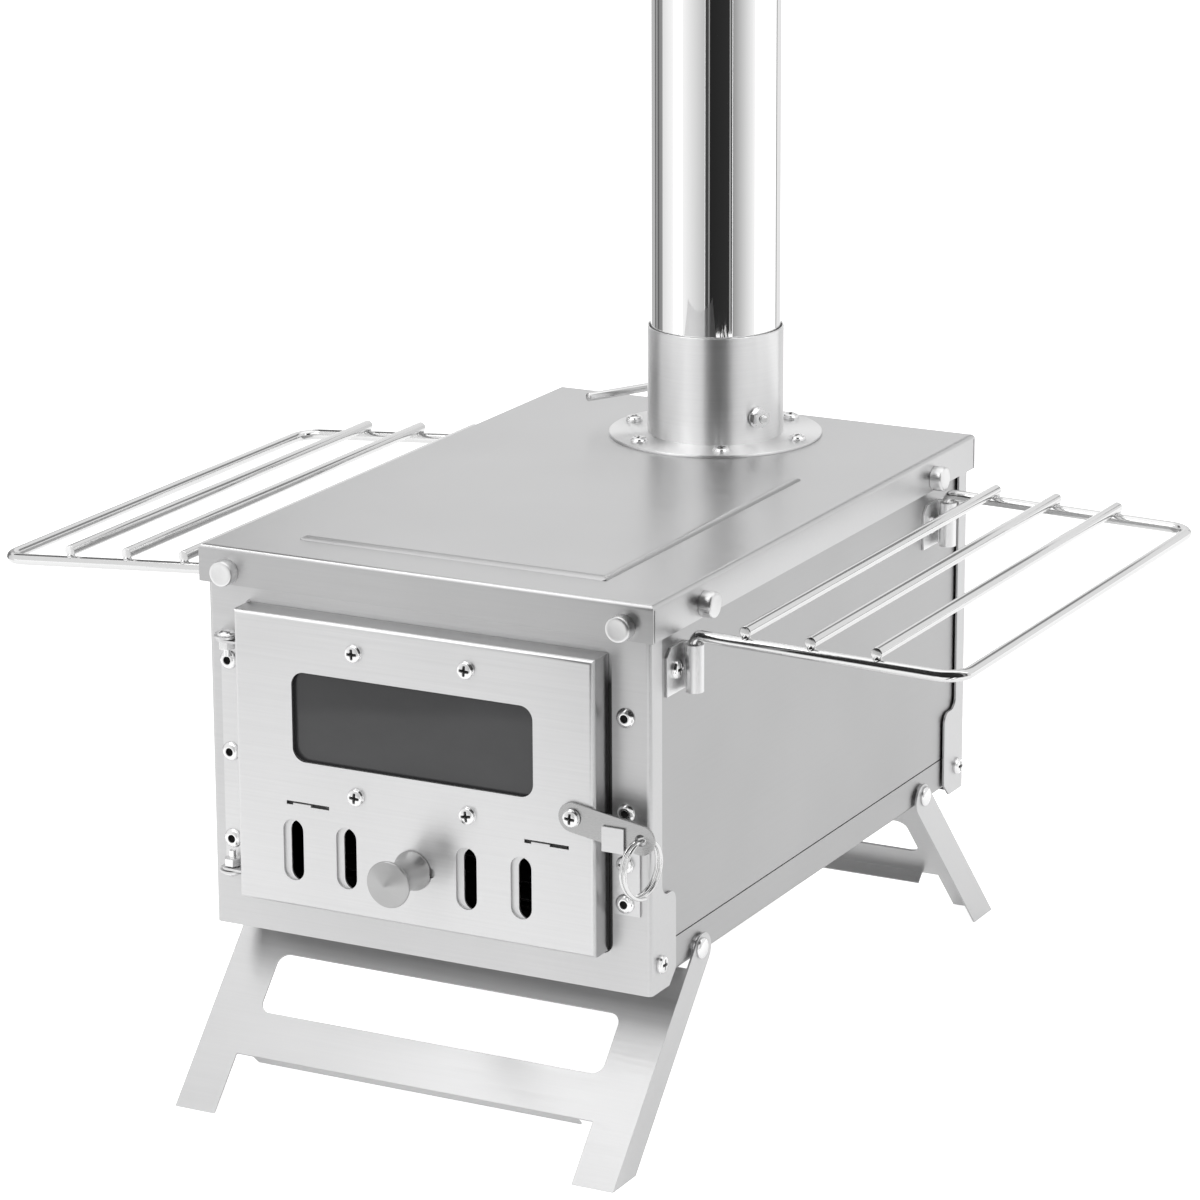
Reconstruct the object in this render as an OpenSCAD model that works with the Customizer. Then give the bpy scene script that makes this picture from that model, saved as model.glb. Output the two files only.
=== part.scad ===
// Folding tent wood stove of folded stainless sheet.
// +X is to the right as seen from the door, +Y to the back, +Z up, and the feet stand on Z = 0.

/* [Body] */
// Width of the lid over its folded rim
lid_w = 214; // [190:1:280]
// Depth of the lid over its folded rim
lid_d = 322; // [316:1:420]
// Height of the firebox from the pan's underside to the lid's top
body_h = 164; // [150:1:220]
// Thickness of the folded sheet
sheet = 1; // [0.8:0.1:1.4]
// Outer radius of a sheet fold
fold_r = 2.2; // [1.6:0.1:3]
// Height of the lid's folded rim
rim_h = 16; // [14:1:22]
// How far the lid's rim stands out past the front panel on each side
rim_overhang = 2.5; // [1.8:0.1:4]
// Height of the raised cooking field
field_rise = 1.5; // [0.8:0.1:3]

/* [Door] */
// Distance of the door from each side of the lid
door_inset = 22; // [20:0.5:27]
// Height of the door
door_h = 126.7; // [122:0.1:132]
// Depth of the door pan
door_depth = 13; // [11:0.5:16]
// Distance of the window from each side of the door
window_inset = 28; // [27:0.5:38]
// Height of the window
window_h = 39; // [28:1:40]
// Thickness of the window glass
glass_t = 3; // [2:0.5:4]

/* [Air control] */
// Width of one air slot
slot_w = 9.8; // [7:0.1:10.5]
// Height of one air slot
slot_h = 27; // [18:0.5:28]
// Distance between neighbouring air slots of one pair
slot_pitch = 25.7; // [22:0.1:27]
// How far the slider stands from fully open at rest
air_rest = 3.3; // [0:0.1:4]
// Length of the air knob in front of the door
knob_len = 24.4; // [16:0.1:24.4]
// Radius of the knob's head
knob_r = 10; // [8.5:0.1:12]

/* [Legs] */
// Height of the pan's underside above the ground
stand_h = 76; // [66:0.5:76]
// Angle of an open leg from upright
splay = 42.5; // [38:0.5:42.5]
// Distance of a leg's pivot from the end of the lid
pivot_inset = 47; // [44:0.5:47]
// Depth of a leg's side flange
leg_flange = 15; // [13:0.5:17]

/* [Side racks] */
// Reach of a rack's outer rail from the middle of the stove
rack_reach = 227; // [190:1:260]
// From the lid's front and rear edges to the rails of a rack
rack_inset = 33.8; // [31:0.1:50]
// Radius of the rack wire
wire_r = 2.5; // [2:0.1:3]
// How far the right rack hangs down, in degrees
right_droop = 1.3; // [0:0.1:5]
// How far the left rack hangs down, in degrees
left_droop = 4.5; // [0:0.1:5]

/* [Flue] */
// Outer radius of the collar
collar_r = 31; // [28:0.1:34]
// Height of the collar above the lid
collar_h = 50.6; // [45:0.1:70]
// Distance of the flue's axis from the back of the lid
flue_inset = 50.4; // [50:0.1:60]
// Outer radius of the flange ring
flange_r = 48.7; // [46:0.1:49]
// Length of the chimney section
chimney_len = 330; // [250:5:400]
// Wall of the chimney section
chimney_wall = 0.6; // [0.5:0.1:0.8]

/* [Hidden] */
$fn = 48;
// One overrun for every cut, and the gaps between pieces that touch or slide
over = 2;
skin_gap = 0.05;
seat_gap = 0.3;
sleeve_gap = 0.7;
run_gap = 0.05;

// Widths that follow the lid
door_w = lid_w - 2 * door_inset;
window_w = door_w - 2 * window_inset;

// Levels and planes of the body
lid_top = stand_h + body_h;
lid_front = -lid_d / 2;
lid_back = lid_d / 2;
panel_setback = 2.6;
panel_front = lid_front + panel_setback;
panel_back = lid_back - panel_setback;
front_half = lid_w / 2 - rim_overhang;
side_gap = 0.2;
side_out = front_half - sheet - side_gap;
rear_standoff = 0.7;
rear_half = side_out + rear_standoff + sheet;
panel_drop = 3.5;
panel_bottom = stand_h - panel_drop;
strip_h = 15.4;
strip_top = stand_h + strip_h;
seam_gap = 0.5;
lip_low = 7;
lip_high = 8;
inner_depth = panel_back - panel_front - 2 * fold_r - 2 * skin_gap;
under_lid = lid_top - sheet;

// Fasteners: head and shank sizes
corner_slit = 0.6;
stud_r = 5.5;
stud_h = 5.6;
stud_edge = 0.6;
stud_drop = 10.4;
stud_front_inset = 13.7;
stud_front_x = lid_w / 2 - stud_front_inset;
stud_side_inset = 45.4;
shank_r = 2;
shank_gap = 0.1;
screw_r = 4.3;
screw_h = 2.4;
screw_dome_r = 6;
recess_w = 1.1;
recess_l = 4.6;
recess_d = 1.2;
rivet_r = 3.6;
rivet_h = 1.8;
rivet_hole_r = 1.3;
grip = 3;

// Tabs, returns and screws of the two end panels
return_d = 10;
tab_d = 22.4;
tab_rise = 37;
tab_top = stand_h + tab_rise;
tab_r = 5;
tab_cut = 6;
tab_screw_inset = 11;
tab_screw_rise = 8.4;
tab_screw_z = stand_h + tab_screw_rise;
flange_in = 10;
stop_lap = 10;
stop_w = door_w - 2 * stop_lap;
stop_h = 104;
stop_z_drop = 87;
stop_z = lid_top - stop_z_drop;
stop_side_gap = 5.5;
stop_half = front_half - stop_side_gap;
stop_margin = 6;

// Raised cooking field
field_half = 73.2;
field_inset = 24.4;
field_front = lid_front + field_inset;
field_flange_gap = 12.5;
field_back = lid_back - flue_inset - flange_r - field_flange_gap;
field_r = 3;
field_slope = 3;

// Door, in its own plane
door_top_drop = 23.2;
door_top = lid_top - door_top_drop;
door_mid_z = door_top - door_h / 2;
door_bottom = door_top - door_h;
door_gap = 0.4;
door_clear = 1.8;
door_back = panel_front + sheet - door_gap;
door_front = door_back - door_depth;
door_inner = door_front + sheet;
window_z_drop = 65.9;
window_z = lid_top - window_z_drop;
window_r = 6;
gasket_t = 1.5;
glass_lap = 6;
frame_lap_x = 10;
frame_lap_z = 17.5;
window_screw_x = 26.5;
window_screw_z = 31.1;
glass_back = door_inner + gasket_t + glass_t;

// Hinge on the left and its lugs
pin_out = 7;
pin_x = -door_w / 2 - pin_out;
pin_forward = 6;
pin_y = panel_front - pin_forward;
pin_r = 1.5;
pin_end = 3.4;
lug_r = 4.4;
hinge_w = 11.5;
hinge_top_drop = 36.8;
hinge_top = lid_top - hinge_top_drop;
hinge_bottom_drop = 141.2;
hinge_bottom = lid_top - hinge_bottom_drop;
ear_r = 5.4;
rivet_drop = 49.4;
rivet_step_1 = 40.4;
rivet_step_2 = 38.6;
rivet_rows = [lid_top - rivet_drop, lid_top - rivet_drop - rivet_step_1,
    lid_top - rivet_drop - rivet_step_1 - rivet_step_2];
rivet_out = 9.4;
rivet_x = door_w / 2 + rivet_out;
keeper_rivet_out = 8.1;
keeper_rivet_x = door_w / 2 + keeper_rivet_out;

// Keeper, latch and ring on the right
latch_in = 9.3;
latch_x = door_w / 2 - latch_in;
latch_z_drop = 90.2;
latch_z = lid_top - latch_z_drop;
latch_tilt = 9.3;
latch_len = 31.5;
latch_r = 6.4;
latch_t = 1.2;
latch_y = door_front - seat_gap - latch_t;
ring_hole_r = 2.4;
keeper_start = 3;
keeper_w = 11.8;
keeper_l = door_w / 2 + keeper_start;
keeper_r = keeper_l + keeper_w;
keeper_low_drop = 133.3;
keeper_low = lid_top - keeper_low_drop;
shelf_start = 1.8;
shelf_l = keeper_l + shelf_start;
shelf_z_drop = 101.9;
shelf_z = lid_top - shelf_z_drop;
hook_h = 10.6;
hook_gap = 0.4;
hook_y = latch_y - hook_gap - sheet;
keeper_screw_in = 5.4;
keeper_screw_x = keeper_l + keeper_screw_in;
keeper_screw_z_drop = 111.4;
keeper_screw_z = lid_top - keeper_screw_z_drop;
ring_r = 12.2;
ring_wire_r = 0.8;
ring_pitch = 2.1;
ring_turns = 2;
ring_steps = 24;
ring_sides = 6;
ring_yaw = 78;

// Slider and knob
slot_mid_x = -3.3;
slot_mid_z_drop = 124.7;
slot_mid_z = lid_top - slot_mid_z_drop;
slot_inner = 28.6;
slit_l = 20.6;
slit_h = 1.6;
slit_z_drop = 104;
slit_z = lid_top - slit_z_drop;
slit_left = 50.2;
slit_right = 63;
slit_xs = [-slit_left, slit_right];
ear_w = 8.6;
ear_shift = 2.6;
ear_proud = 0.5;
slider_half = 72;
slider_low = door_bottom + 3;
slider_top = slit_z - slit_h / 2 + run_gap + sheet;
slider_y = door_inner + run_gap;
knob_z_drop = 124.9;
knob_z = lid_top - knob_z_drop;
knob_stud_r = 2.1;
knob_base_r = 8.6;
knob_neck_r = 6.8;
knob_cone = 3.7;
knob_lip = 1.4;
air_close = 8;

// Legs
pivot_y = lid_d / 2 - pivot_inset;
pivot_up = 4;
pivot_z = stand_h + pivot_up;
leg_v = -(pivot_up + seat_gap + sheet);
leg_half = front_half + 0.8 * sheet;
leg_top_u = 12;
leg_len = (pivot_z - leg_v * sin(splay)) / cos(splay);
leg_window_top = 37;
leg_window_bottom = 64.5;
leg_window_half = 82.5;
leg_bar_bottom = 85;
leg_foot_w = 19.5;
leg_lip_half = 78;
leg_lip_d = 7;
leg_r = 5;
pivot_head_r = 4.6;
pivot_head_h = 2;
pivot_shank_r = 2;
washer_r = 5;
fold_turn = 90 + splay;

// Racks and their brackets
rack_mid_y = -3;
rack_span = lid_d - 2 * rack_inset;
rack_z_drop = 19.7;
rack_z = lid_top - rack_z_drop;
socket_out = 5.7;
socket_x = front_half + socket_out;
socket_r = 3.8;
socket_top_drop = 23.2;
socket_top = lid_top - socket_top_drop;
socket_h = 20.2;
bend_r = 3.2;
leg_slack = 0.02;
leg_lap = 0.2;
corner_r = 10;
bar_first = 22.6;
bar_pitch = 29.05;
bar_xs = [for (i = [0:2]) socket_x + bar_first + i * bar_pitch];
bar_over = 1;
bar_lift = 2 * wire_r + skin_gap;
bracket_l = 13;
bracket_cut = 5;
bracket_screw_up = 10;
bracket_screw_l = 5.6;
web_t = 1.2;

// Flue
flue_y = lid_back - flue_inset;
flange_t = 1.2;
flue_base = lid_top + flange_t;
collar_wall = 0.8;
neck_h = 8;
neck_wall = 1;
flange_screw_r = 41.5;
flange_screws = 6;
damper_turn = -26.7;
damper_up = 13.2;
damper_z = lid_top + damper_up;
damper_rod_r = 2;
damper_far = 36.5;
damper_near = 46;
damper_bend_r = 5;
damper_handle = 38.6;
damper_plate_gap = 1.6;
nut_r = 4.2;
nut_h = 3.4;
nut_washer_r = 4.8;
chimney_r = collar_r - collar_wall - sleeve_gap;
chimney_low = damper_z + damper_rod_r + seat_gap;
chimney_top = chimney_low + chimney_len;
spigot_len = 35;
spigot_step = 0.8;
bead_r = 1;
damper_plate_r = chimney_r - chimney_wall - damper_plate_gap;

// Fire grate
grate_half = 84;
grate_front_gap = 22;
grate_back_gap = 30;
grate_front = lid_front + grate_front_gap;
grate_back = lid_back - grate_back_gap;
grate_up = 14;
grate_slot_w = 7;
grate_slot_l = 62;
grate_pitch = 20;

// Round-ended and round-cornered outlines
module round_rect(w, h, r) {
    square([w - 2 * r, h], center = true);
    square([w, h - 2 * r], center = true);
    for (i = [-1, 1])
        for (j = [-1, 1])
            translate([i * (w / 2 - r), j * (h / 2 - r)])
                circle(r);
}

module slot_2d(w, h) {
    square([w, h - w], center = true);
    for (j = [-1, 1])
        translate([0, j * (h - w) / 2])
            circle(w / 2);
}

// Section of a sheet folded down at both ends, its top on the X axis
module fold_2d(w, h, r) {
    translate([-w / 2, -h])
        square([w, h - r]);
    translate([r - w / 2, -r])
        square([w - 2 * r, r]);
    for (i = [-1, 1])
        translate([i * (w / 2 - r), -r])
            circle(r);
}

// Block with its four upper edges rounded, as a folded tray is outside
module fold_block(w, d, h, r) {
    intersection() {
        rotate([90, 0, 0])
            linear_extrude(d, center = true)
                fold_2d(w, h, r);
        rotate([90, 0, 90])
            linear_extrude(w, center = true)
                fold_2d(d, h, r);
    }
}

// Folded tray, open below
module tray(w, d, h, r, t) {
    difference() {
        fold_block(w, d, h, r);
        translate([0, 0, -t])
            fold_block(w - 2 * t, d - 2 * t, h - t + over, r - t);
    }
}

// Fasteners stand on the XY plane with the head up
module dome(r, h, dome_r) {
    intersection() {
        cylinder(r = r, h = h);
        translate([0, 0, h - dome_r])
            sphere(dome_r);
    }
}

module cross_recess(h) {
    for (a = [0, 90])
        rotate(a)
            translate([-recess_l / 2, -recess_w / 2, h - recess_d])
                cube([recess_l, recess_w, recess_d + over]);
}

module pan_screw(length) {
    difference() {
        dome(screw_r, screw_h, screw_dome_r);
        cross_recess(screw_h);
    }
    translate([0, 0, -length])
        cylinder(r = shank_r, h = length);
}

module pop_rivet(length) {
    difference() {
        union() {
            dome(rivet_r, rivet_h, screw_dome_r);
            translate([0, 0, -length])
                cylinder(r = shank_r, h = length);
        }
        translate([0, 0, -length / 2])
            cylinder(r = rivet_hole_r, h = rivet_h + length);
    }
}

module binding_stud(length) {
    rotate_extrude()
        polygon([[0, 0], [stud_r, 0], [stud_r, stud_h - stud_edge], [stud_r - stud_edge, stud_h], [0, stud_h]]);
    translate([0, 0, -length])
        cylinder(r = shank_r, h = length);
}

module shank_hole(length) {
    translate([0, 0, -length])
        cylinder(r = shank_r + shank_gap, h = length + over);
}

// A fastener that faces the door side, or one of the long sides
module face_front() { rotate([90, 0, 0]) children(); }
module face_back() { rotate([-90, 0, 0]) children(); }
module face_side(side) { rotate([0, side * 90, 0]) children(); }

// Where fasteners sit, so that a hole and its fastener share one place
module at_lid_studs() {
    for (x = [-stud_front_x, stud_front_x])
        translate([x, lid_front, lid_top - stud_drop])
            face_front() children();
    for (x = [-stud_front_x, stud_front_x])
        translate([x, lid_back, lid_top - stud_drop])
            face_back() children();
    for (side = [-1, 1])
        for (y = [lid_front + stud_side_inset, lid_back - stud_side_inset])
            translate([side * lid_w / 2, y, lid_top - stud_drop])
                face_side(side) children();
}

module at_tab_screws(ends) {
    for (side = [-1, 1])
        for (e = ends)
            translate([side * (e < 0 ? front_half : rear_half), e * (lid_d / 2 - tab_screw_inset), tab_screw_z])
                face_side(side) children();
}

module at_rivets(x, y) {
    for (z = rivet_rows)
        translate([x, y, z])
            face_front() children();
}

module at_bracket_screws() {
    for (side = [-1, 1])
        for (e = [-1, 1])
            translate([side * (side_out + sheet), rack_mid_y + e * rack_span / 2 - bracket_screw_l,
                    socket_top - bracket_screw_up])
                face_side(side) children();
}

module at_leg_pivots(x) {
    for (side = [-1, 1])
        for (e = [-1, 1])
            translate([side * x, e * pivot_y, pivot_z])
                face_side(side) children();
}

module at_window_screws(y) {
    for (x = [-window_screw_x, window_screw_x])
        for (z = [-window_screw_z, window_screw_z])
            translate([x, y, window_z + z])
                face_front() children();
}

module at_flange_screws(z) {
    for (i = [0 : flange_screws - 1])
        rotate(i * 360 / flange_screws)
            translate([flange_screw_r, 0, z])
                children();
}

module at_flue(z) { translate([0, flue_y, z]) children(); }

// Body
module bottom_pan() {
    color("gainsboro")
        difference() {
            translate([0, (panel_front + panel_back) / 2, stand_h])
                mirror([0, 0, 1])
                    tray(2 * side_out, inner_depth, strip_h - seam_gap, fold_r, sheet);
            at_tab_screws([-1, 1]) shank_hole(2 * grip);
            at_leg_pivots(side_out) shank_hole(grip);
        }
}

module side_panel(side) {
    top_lip = 8;
    color("silver")
        difference() {
            scale_side(side) union() {
                translate([side_out - sheet, -inner_depth / 2, strip_top])
                    cube([sheet, inner_depth, under_lid - skin_gap - strip_top]);
                translate([side_out - top_lip, -inner_depth / 2, under_lid - skin_gap - sheet])
                    cube([top_lip, inner_depth, sheet]);
                translate([side_out - 2 * sheet, fold_r - inner_depth / 2, strip_top - lip_low])
                    cube([sheet, inner_depth - 2 * fold_r, lip_low + lip_high]);
            }
            at_lid_studs() shank_hole(2 * grip);
            at_tab_screws([-1, 1]) shank_hole(2 * grip);
            at_bracket_screws() shank_hole(grip);
        }
}

module scale_side(side) {
    if (side > 0)
        children();
    else
        mirror([1, 0, 0]) children();
}

// Outline of a return's free edge, seen from the side: what is cut away above the wide tab
module return_cut_2d(height) {
    difference() {
        translate([return_d, tab_top])
            square([tab_d, height]);
        translate([return_d, tab_top])
            difference() {
                square([tab_r, tab_r]);
                translate([tab_r, tab_r])
                    circle(tab_r);
            }
    }
    translate([tab_d - tab_r, tab_top - tab_r])
        difference() {
            square([2 * tab_r, tab_r]);
            circle(tab_r);
        }
    polygon([[tab_d + over, panel_bottom - over], [tab_d - tab_cut - over, panel_bottom - over],
        [tab_d - tab_cut, panel_bottom], [tab_d, panel_bottom + tab_cut], [tab_d + over, panel_bottom + tab_cut]]);
}

// End panel that faces -Y with its outer face on the X axis plane
module end_panel(half) {
    height = under_lid - skin_gap - panel_bottom;
    difference() {
        translate([0, 0, panel_bottom])
            linear_extrude(height)
                mirror([0, 1, 0])
                    difference() {
                        fold_2d(2 * half, tab_d, fold_r);
                        translate([0, -sheet])
                            fold_2d(2 * half - 2 * sheet, tab_d, fold_r - sheet);
                    }
        rotate([90, 0, 90])
            linear_extrude(3 * half, center = true)
                return_cut_2d(height);
    }
    translate([sheet - half + fold_r, sheet, panel_bottom])
        cube([2 * (half - sheet - fold_r), flange_in, sheet]);
}

module front_panel() {
    color("gainsboro")
        difference() {
            translate([0, panel_front, 0])
                end_panel(front_half);
            translate([0, panel_front, door_mid_z])
                rotate([90, 0, 0])
                    linear_extrude(4 * over, center = true)
                        round_rect(door_w + 2 * door_clear, door_h + 2 * door_clear, tab_r);
            at_lid_studs() shank_hole(2 * grip);
            at_tab_screws([-1]) shank_hole(grip);
            at_rivets(keeper_rivet_x, panel_front) shank_hole(grip);
            at_rivets(-rivet_x, panel_front) shank_hole(grip);
            translate([keeper_screw_x, panel_front, keeper_screw_z])
                face_front() shank_hole(grip);
        }
}

// Stop frame behind the front panel, which the closed door rests against
module door_stop_frame() {
    color("silver")
        difference() {
            translate([0, panel_front + 2 * sheet, 0])
                rotate([90, 0, 0])
                    linear_extrude(sheet)
                        difference() {
                            translate([0, door_mid_z])
                                round_rect(2 * stop_half, door_h + 2 * stop_margin, tab_r);
                            translate([0, stop_z])
                                round_rect(stop_w, stop_h, tab_r);
                        }
            at_rivets(keeper_rivet_x, panel_front) shank_hole(2 * grip);
            at_rivets(-rivet_x, panel_front) shank_hole(2 * grip);
            translate([keeper_screw_x, panel_front, keeper_screw_z])
                face_front() shank_hole(2 * grip);
        }
}

module rear_panel() {
    color("silver")
        difference() {
            translate([0, panel_back, 0])
                rotate(180)
                    end_panel(rear_half);
            at_lid_studs() shank_hole(2 * grip);
            at_tab_screws([1]) shank_hole(grip);
        }
}

// Raised field: a low block with sloping sides and rounded corners
module field_block(half, d, rise, slope, r) {
    intersection() {
        rotate([90, 0, 0])
            linear_extrude(d, center = true)
                polygon([[-half, -over], [half, -over], [half, 0], [half - slope, rise], [slope - half, rise], [-half, 0]]);
        rotate([90, 0, 90])
            linear_extrude(2 * half, center = true)
                polygon([[-d / 2, -over], [d / 2, -over], [d / 2, 0], [d / 2 - slope, rise],
                    [slope - d / 2, rise], [-d / 2, 0]]);
        translate([0, 0, -over])
            linear_extrude(rise + 2 * over)
                round_rect(2 * half, d, r);
    }
}

module top_plate() {
    field_d = field_back - field_front;
    field_y = (field_back + field_front) / 2;
    color("gainsboro")
        difference() {
            union() {
                translate([0, 0, lid_top])
                    fold_block(lid_w, lid_d, rim_h, fold_r);
                translate([0, field_y, lid_top])
                    field_block(field_half, field_d, field_rise, field_slope, field_r);
            }
            translate([0, 0, lid_top - sheet])
                fold_block(lid_w - 2 * sheet, lid_d - 2 * sheet, rim_h - sheet + over, fold_r - sheet);
            translate([0, field_y, lid_top - sheet])
                field_block(field_half - sheet / 2, field_d - sheet, field_rise, field_slope, field_r);
            at_flue(lid_top - over)
                cylinder(r = collar_r - collar_wall - neck_wall, h = 2 * over);
            for (x = [-1, 1])
                for (y = [-1, 1])
                    translate([x * lid_w / 2, y * (lid_d / 2 - sheet - corner_slit / 2), lid_top - fold_r - rim_h / 2])
                        cube([4 * sheet, corner_slit, rim_h], center = true);
            at_flue(0)
                at_flange_screws(lid_top) shank_hole(grip);
            at_lid_studs() shank_hole(grip);
        }
}

module lid_studs() { color("silver") at_lid_studs() binding_stud(grip + 2 * sheet); }

module panel_screws() {
    color("silver") at_tab_screws([-1]) pan_screw(grip);
    color("silver") at_tab_screws([1]) pan_screw(grip + rear_standoff);
}

// Ember grate: a slotted tray that stands on its long flanges inside the pan
module fire_grate() {
    length = grate_back - grate_front;
    rows = floor((length / 2 - grate_slot_w) / grate_pitch);
    color("dimgray")
        translate([0, (grate_front + grate_back) / 2, stand_h + sheet + skin_gap])
            difference() {
                translate([0, 0, grate_up])
                    rotate([90, 0, 0])
                        linear_extrude(length, center = true)
                            difference() {
                                fold_2d(2 * grate_half, grate_up, fold_r);
                                translate([0, -sheet])
                                    fold_2d(2 * grate_half - 2 * sheet, grate_up, fold_r - sheet);
                            }
                for (i = [-rows : rows])
                    for (side = [-1, 1])
                        translate([side * grate_half / 2, i * grate_pitch, grate_up - over])
                            linear_extrude(2 * over)
                                rotate(90)
                                    slot_2d(grate_slot_w, grate_slot_l);
            }
}

// Flue
module flue_flange() {
    inner = collar_r - collar_wall - neck_wall;
    color("gainsboro")
        at_flue(lid_top)
            difference() {
                union() {
                    cylinder(r = flange_r, h = flange_t);
                    cylinder(r = inner + neck_wall - skin_gap, h = flange_t + neck_h);
                }
                translate([0, 0, -over])
                    cylinder(r = inner, h = flange_t + neck_h + 2 * over);
                at_flange_screws(flange_t) shank_hole(grip);
            }
}

module flue_collar() {
    color("lightgray")
        difference() {
            at_flue(flue_base)
                difference() {
                    cylinder(r = collar_r, h = collar_h - flange_t);
                    translate([0, 0, -over])
                        cylinder(r = collar_r - collar_wall, h = collar_h + 2 * over);
                }
            damper_place()
                rotate([0, 90, 0])
                    cylinder(r = damper_rod_r + run_gap, h = 3 * collar_r, center = true);
        }
}

module flange_screws() { color("silver") at_flue(0) at_flange_screws(flue_base) pan_screw(grip); }

// The damper's own frame: X along the rod towards its nut
module damper_place() { at_flue(damper_z) rotate(damper_turn) children(); }

module damper_rod() {
    straight = damper_near - damper_bend_r + damper_far;
    color("silver")
        damper_place() {
            translate([damper_bend_r - damper_near, 0, 0])
                rotate([0, 90, 0])
                    cylinder(r = damper_rod_r, h = straight);
            translate([damper_bend_r - damper_near, -damper_bend_r, 0])
                rotate(90)
                    rotate_extrude(angle = 90)
                        translate([damper_bend_r, 0])
                            circle(damper_rod_r);
            translate([-damper_near, -damper_bend_r, 0])
                rotate([90, 0, 0])
                    cylinder(r = damper_rod_r, h = damper_handle - damper_bend_r);
        }
}

module damper_plate() {
    color("gray")
        damper_place()
            translate([0, 0, damper_rod_r + skin_gap])
                difference() {
                    cylinder(r = damper_plate_r, h = sheet);
                    at_plate_screws() shank_hole(grip);
                }
}

module at_plate_screws() {
    for (i = [-1, 1])
        translate([i * damper_plate_r / 2, 0, sheet])
            children();
}

module damper_plate_screws() {
    color("silver")
        damper_place()
            translate([0, 0, damper_rod_r + skin_gap])
                at_plate_screws() dome(rivet_r, rivet_h, screw_dome_r);
}

module damper_nut() {
    color("silver")
        damper_place()
            translate([collar_r + seat_gap, 0, 0])
                rotate([0, 90, 0])
                    difference() {
                        union() {
                            cylinder(r = nut_washer_r, h = sheet);
                            translate([0, 0, sheet])
                                cylinder(r = nut_r, h = nut_h, $fn = 6);
                        }
                        translate([0, 0, -over])
                            cylinder(r = damper_rod_r + skin_gap, h = nut_h + sheet + 2 * over);
                    }
}

module chimney_section() {
    spigot_r = chimney_r - spigot_step;
    neck = chimney_len - spigot_len;
    color("whitesmoke")
        at_flue(chimney_low)
            difference() {
                union() {
                    cylinder(r = chimney_r, h = neck);
                    cylinder(r = spigot_r, h = chimney_len);
                    translate([0, 0, neck])
                        rotate_extrude()
                            translate([chimney_r - bead_r / 2, 0])
                                circle(bead_r);
                }
                translate([0, 0, -over])
                    cylinder(r = spigot_r - chimney_wall, h = chimney_len + 2 * over);
                translate([0, 0, -over])
                    cylinder(r = chimney_r - chimney_wall, h = neck - spigot_step + over);
            }
}

// Hinge: a riveted plate with an ear at each end, and a pivot screw through each ear
module hinge_plate() {
    left = -rivet_x - hinge_w / 3;
    color("gainsboro")
        difference() {
            union() {
                translate([left, panel_front - sheet, hinge_bottom])
                    cube([hinge_w, sheet, hinge_top - hinge_bottom]);
                for (z = [hinge_bottom, hinge_top - sheet]) {
                    translate([left, pin_y, z])
                        cube([hinge_w, panel_front - pin_y - sheet / 2, sheet]);
                    translate([pin_x, pin_y, z])
                        cylinder(r = ear_r, h = sheet);
                }
            }
            at_rivets(-rivet_x, panel_front) shank_hole(grip);
            translate([pin_x, pin_y, hinge_bottom - over])
                cylinder(r = pin_r + skin_gap, h = hinge_top - hinge_bottom + 2 * over);
        }
}

module hinge_rivets() { color("silver") at_rivets(-rivet_x, panel_front - sheet) pop_rivet(grip); }

// Pivot screw: head on the ear, shank through ear and lug, nut inside
module hinge_pin() {
    reach = 2 * sheet + 2 * seat_gap;
    dome(screw_r, screw_h, screw_dome_r);
    translate([0, 0, -reach - nut_h - pin_end])
        cylinder(r = pin_r, h = reach + nut_h + pin_end);
    translate([0, 0, -reach - nut_h])
        cylinder(r = nut_r - sheet / 2, h = nut_h, $fn = 6);
}

module hinge_pin_top() { color("silver") translate([pin_x, pin_y, hinge_top]) hinge_pin(); }

module hinge_pin_bottom() {
    color("silver") translate([pin_x, pin_y, hinge_bottom]) mirror([0, 0, 1]) hinge_pin();
}

// Keeper: a riveted plate whose top folds forward into a shelf and up into a square hook
module keeper() {
    color("gainsboro")
        difference() {
            union() {
                translate([keeper_l, panel_front - sheet, keeper_low])
                    cube([keeper_r - keeper_l, sheet, shelf_z + sheet - keeper_low]);
                translate([shelf_l, hook_y, shelf_z])
                    cube([keeper_r - shelf_l, panel_front - hook_y, sheet]);
                translate([shelf_l, hook_y, shelf_z])
                    cube([keeper_r - shelf_l, sheet, hook_h]);
            }
            at_rivets(keeper_rivet_x, panel_front) shank_hole(grip);
            translate([keeper_screw_x, panel_front, keeper_screw_z])
                face_front() shank_hole(grip);
        }
}

module keeper_rivets() {
    color("silver") {
        for (z = [rivet_rows[0], rivet_rows[1]])
            translate([keeper_rivet_x, panel_front, z])
                face_front() pop_rivet(grip);
        translate([keeper_rivet_x, panel_front - sheet, rivet_rows[2]])
            face_front() pop_rivet(grip);
    }
}

module keeper_screw() {
    color("silver")
        translate([keeper_screw_x, panel_front - sheet, keeper_screw_z])
            face_front() pan_screw(grip);
}

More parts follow.
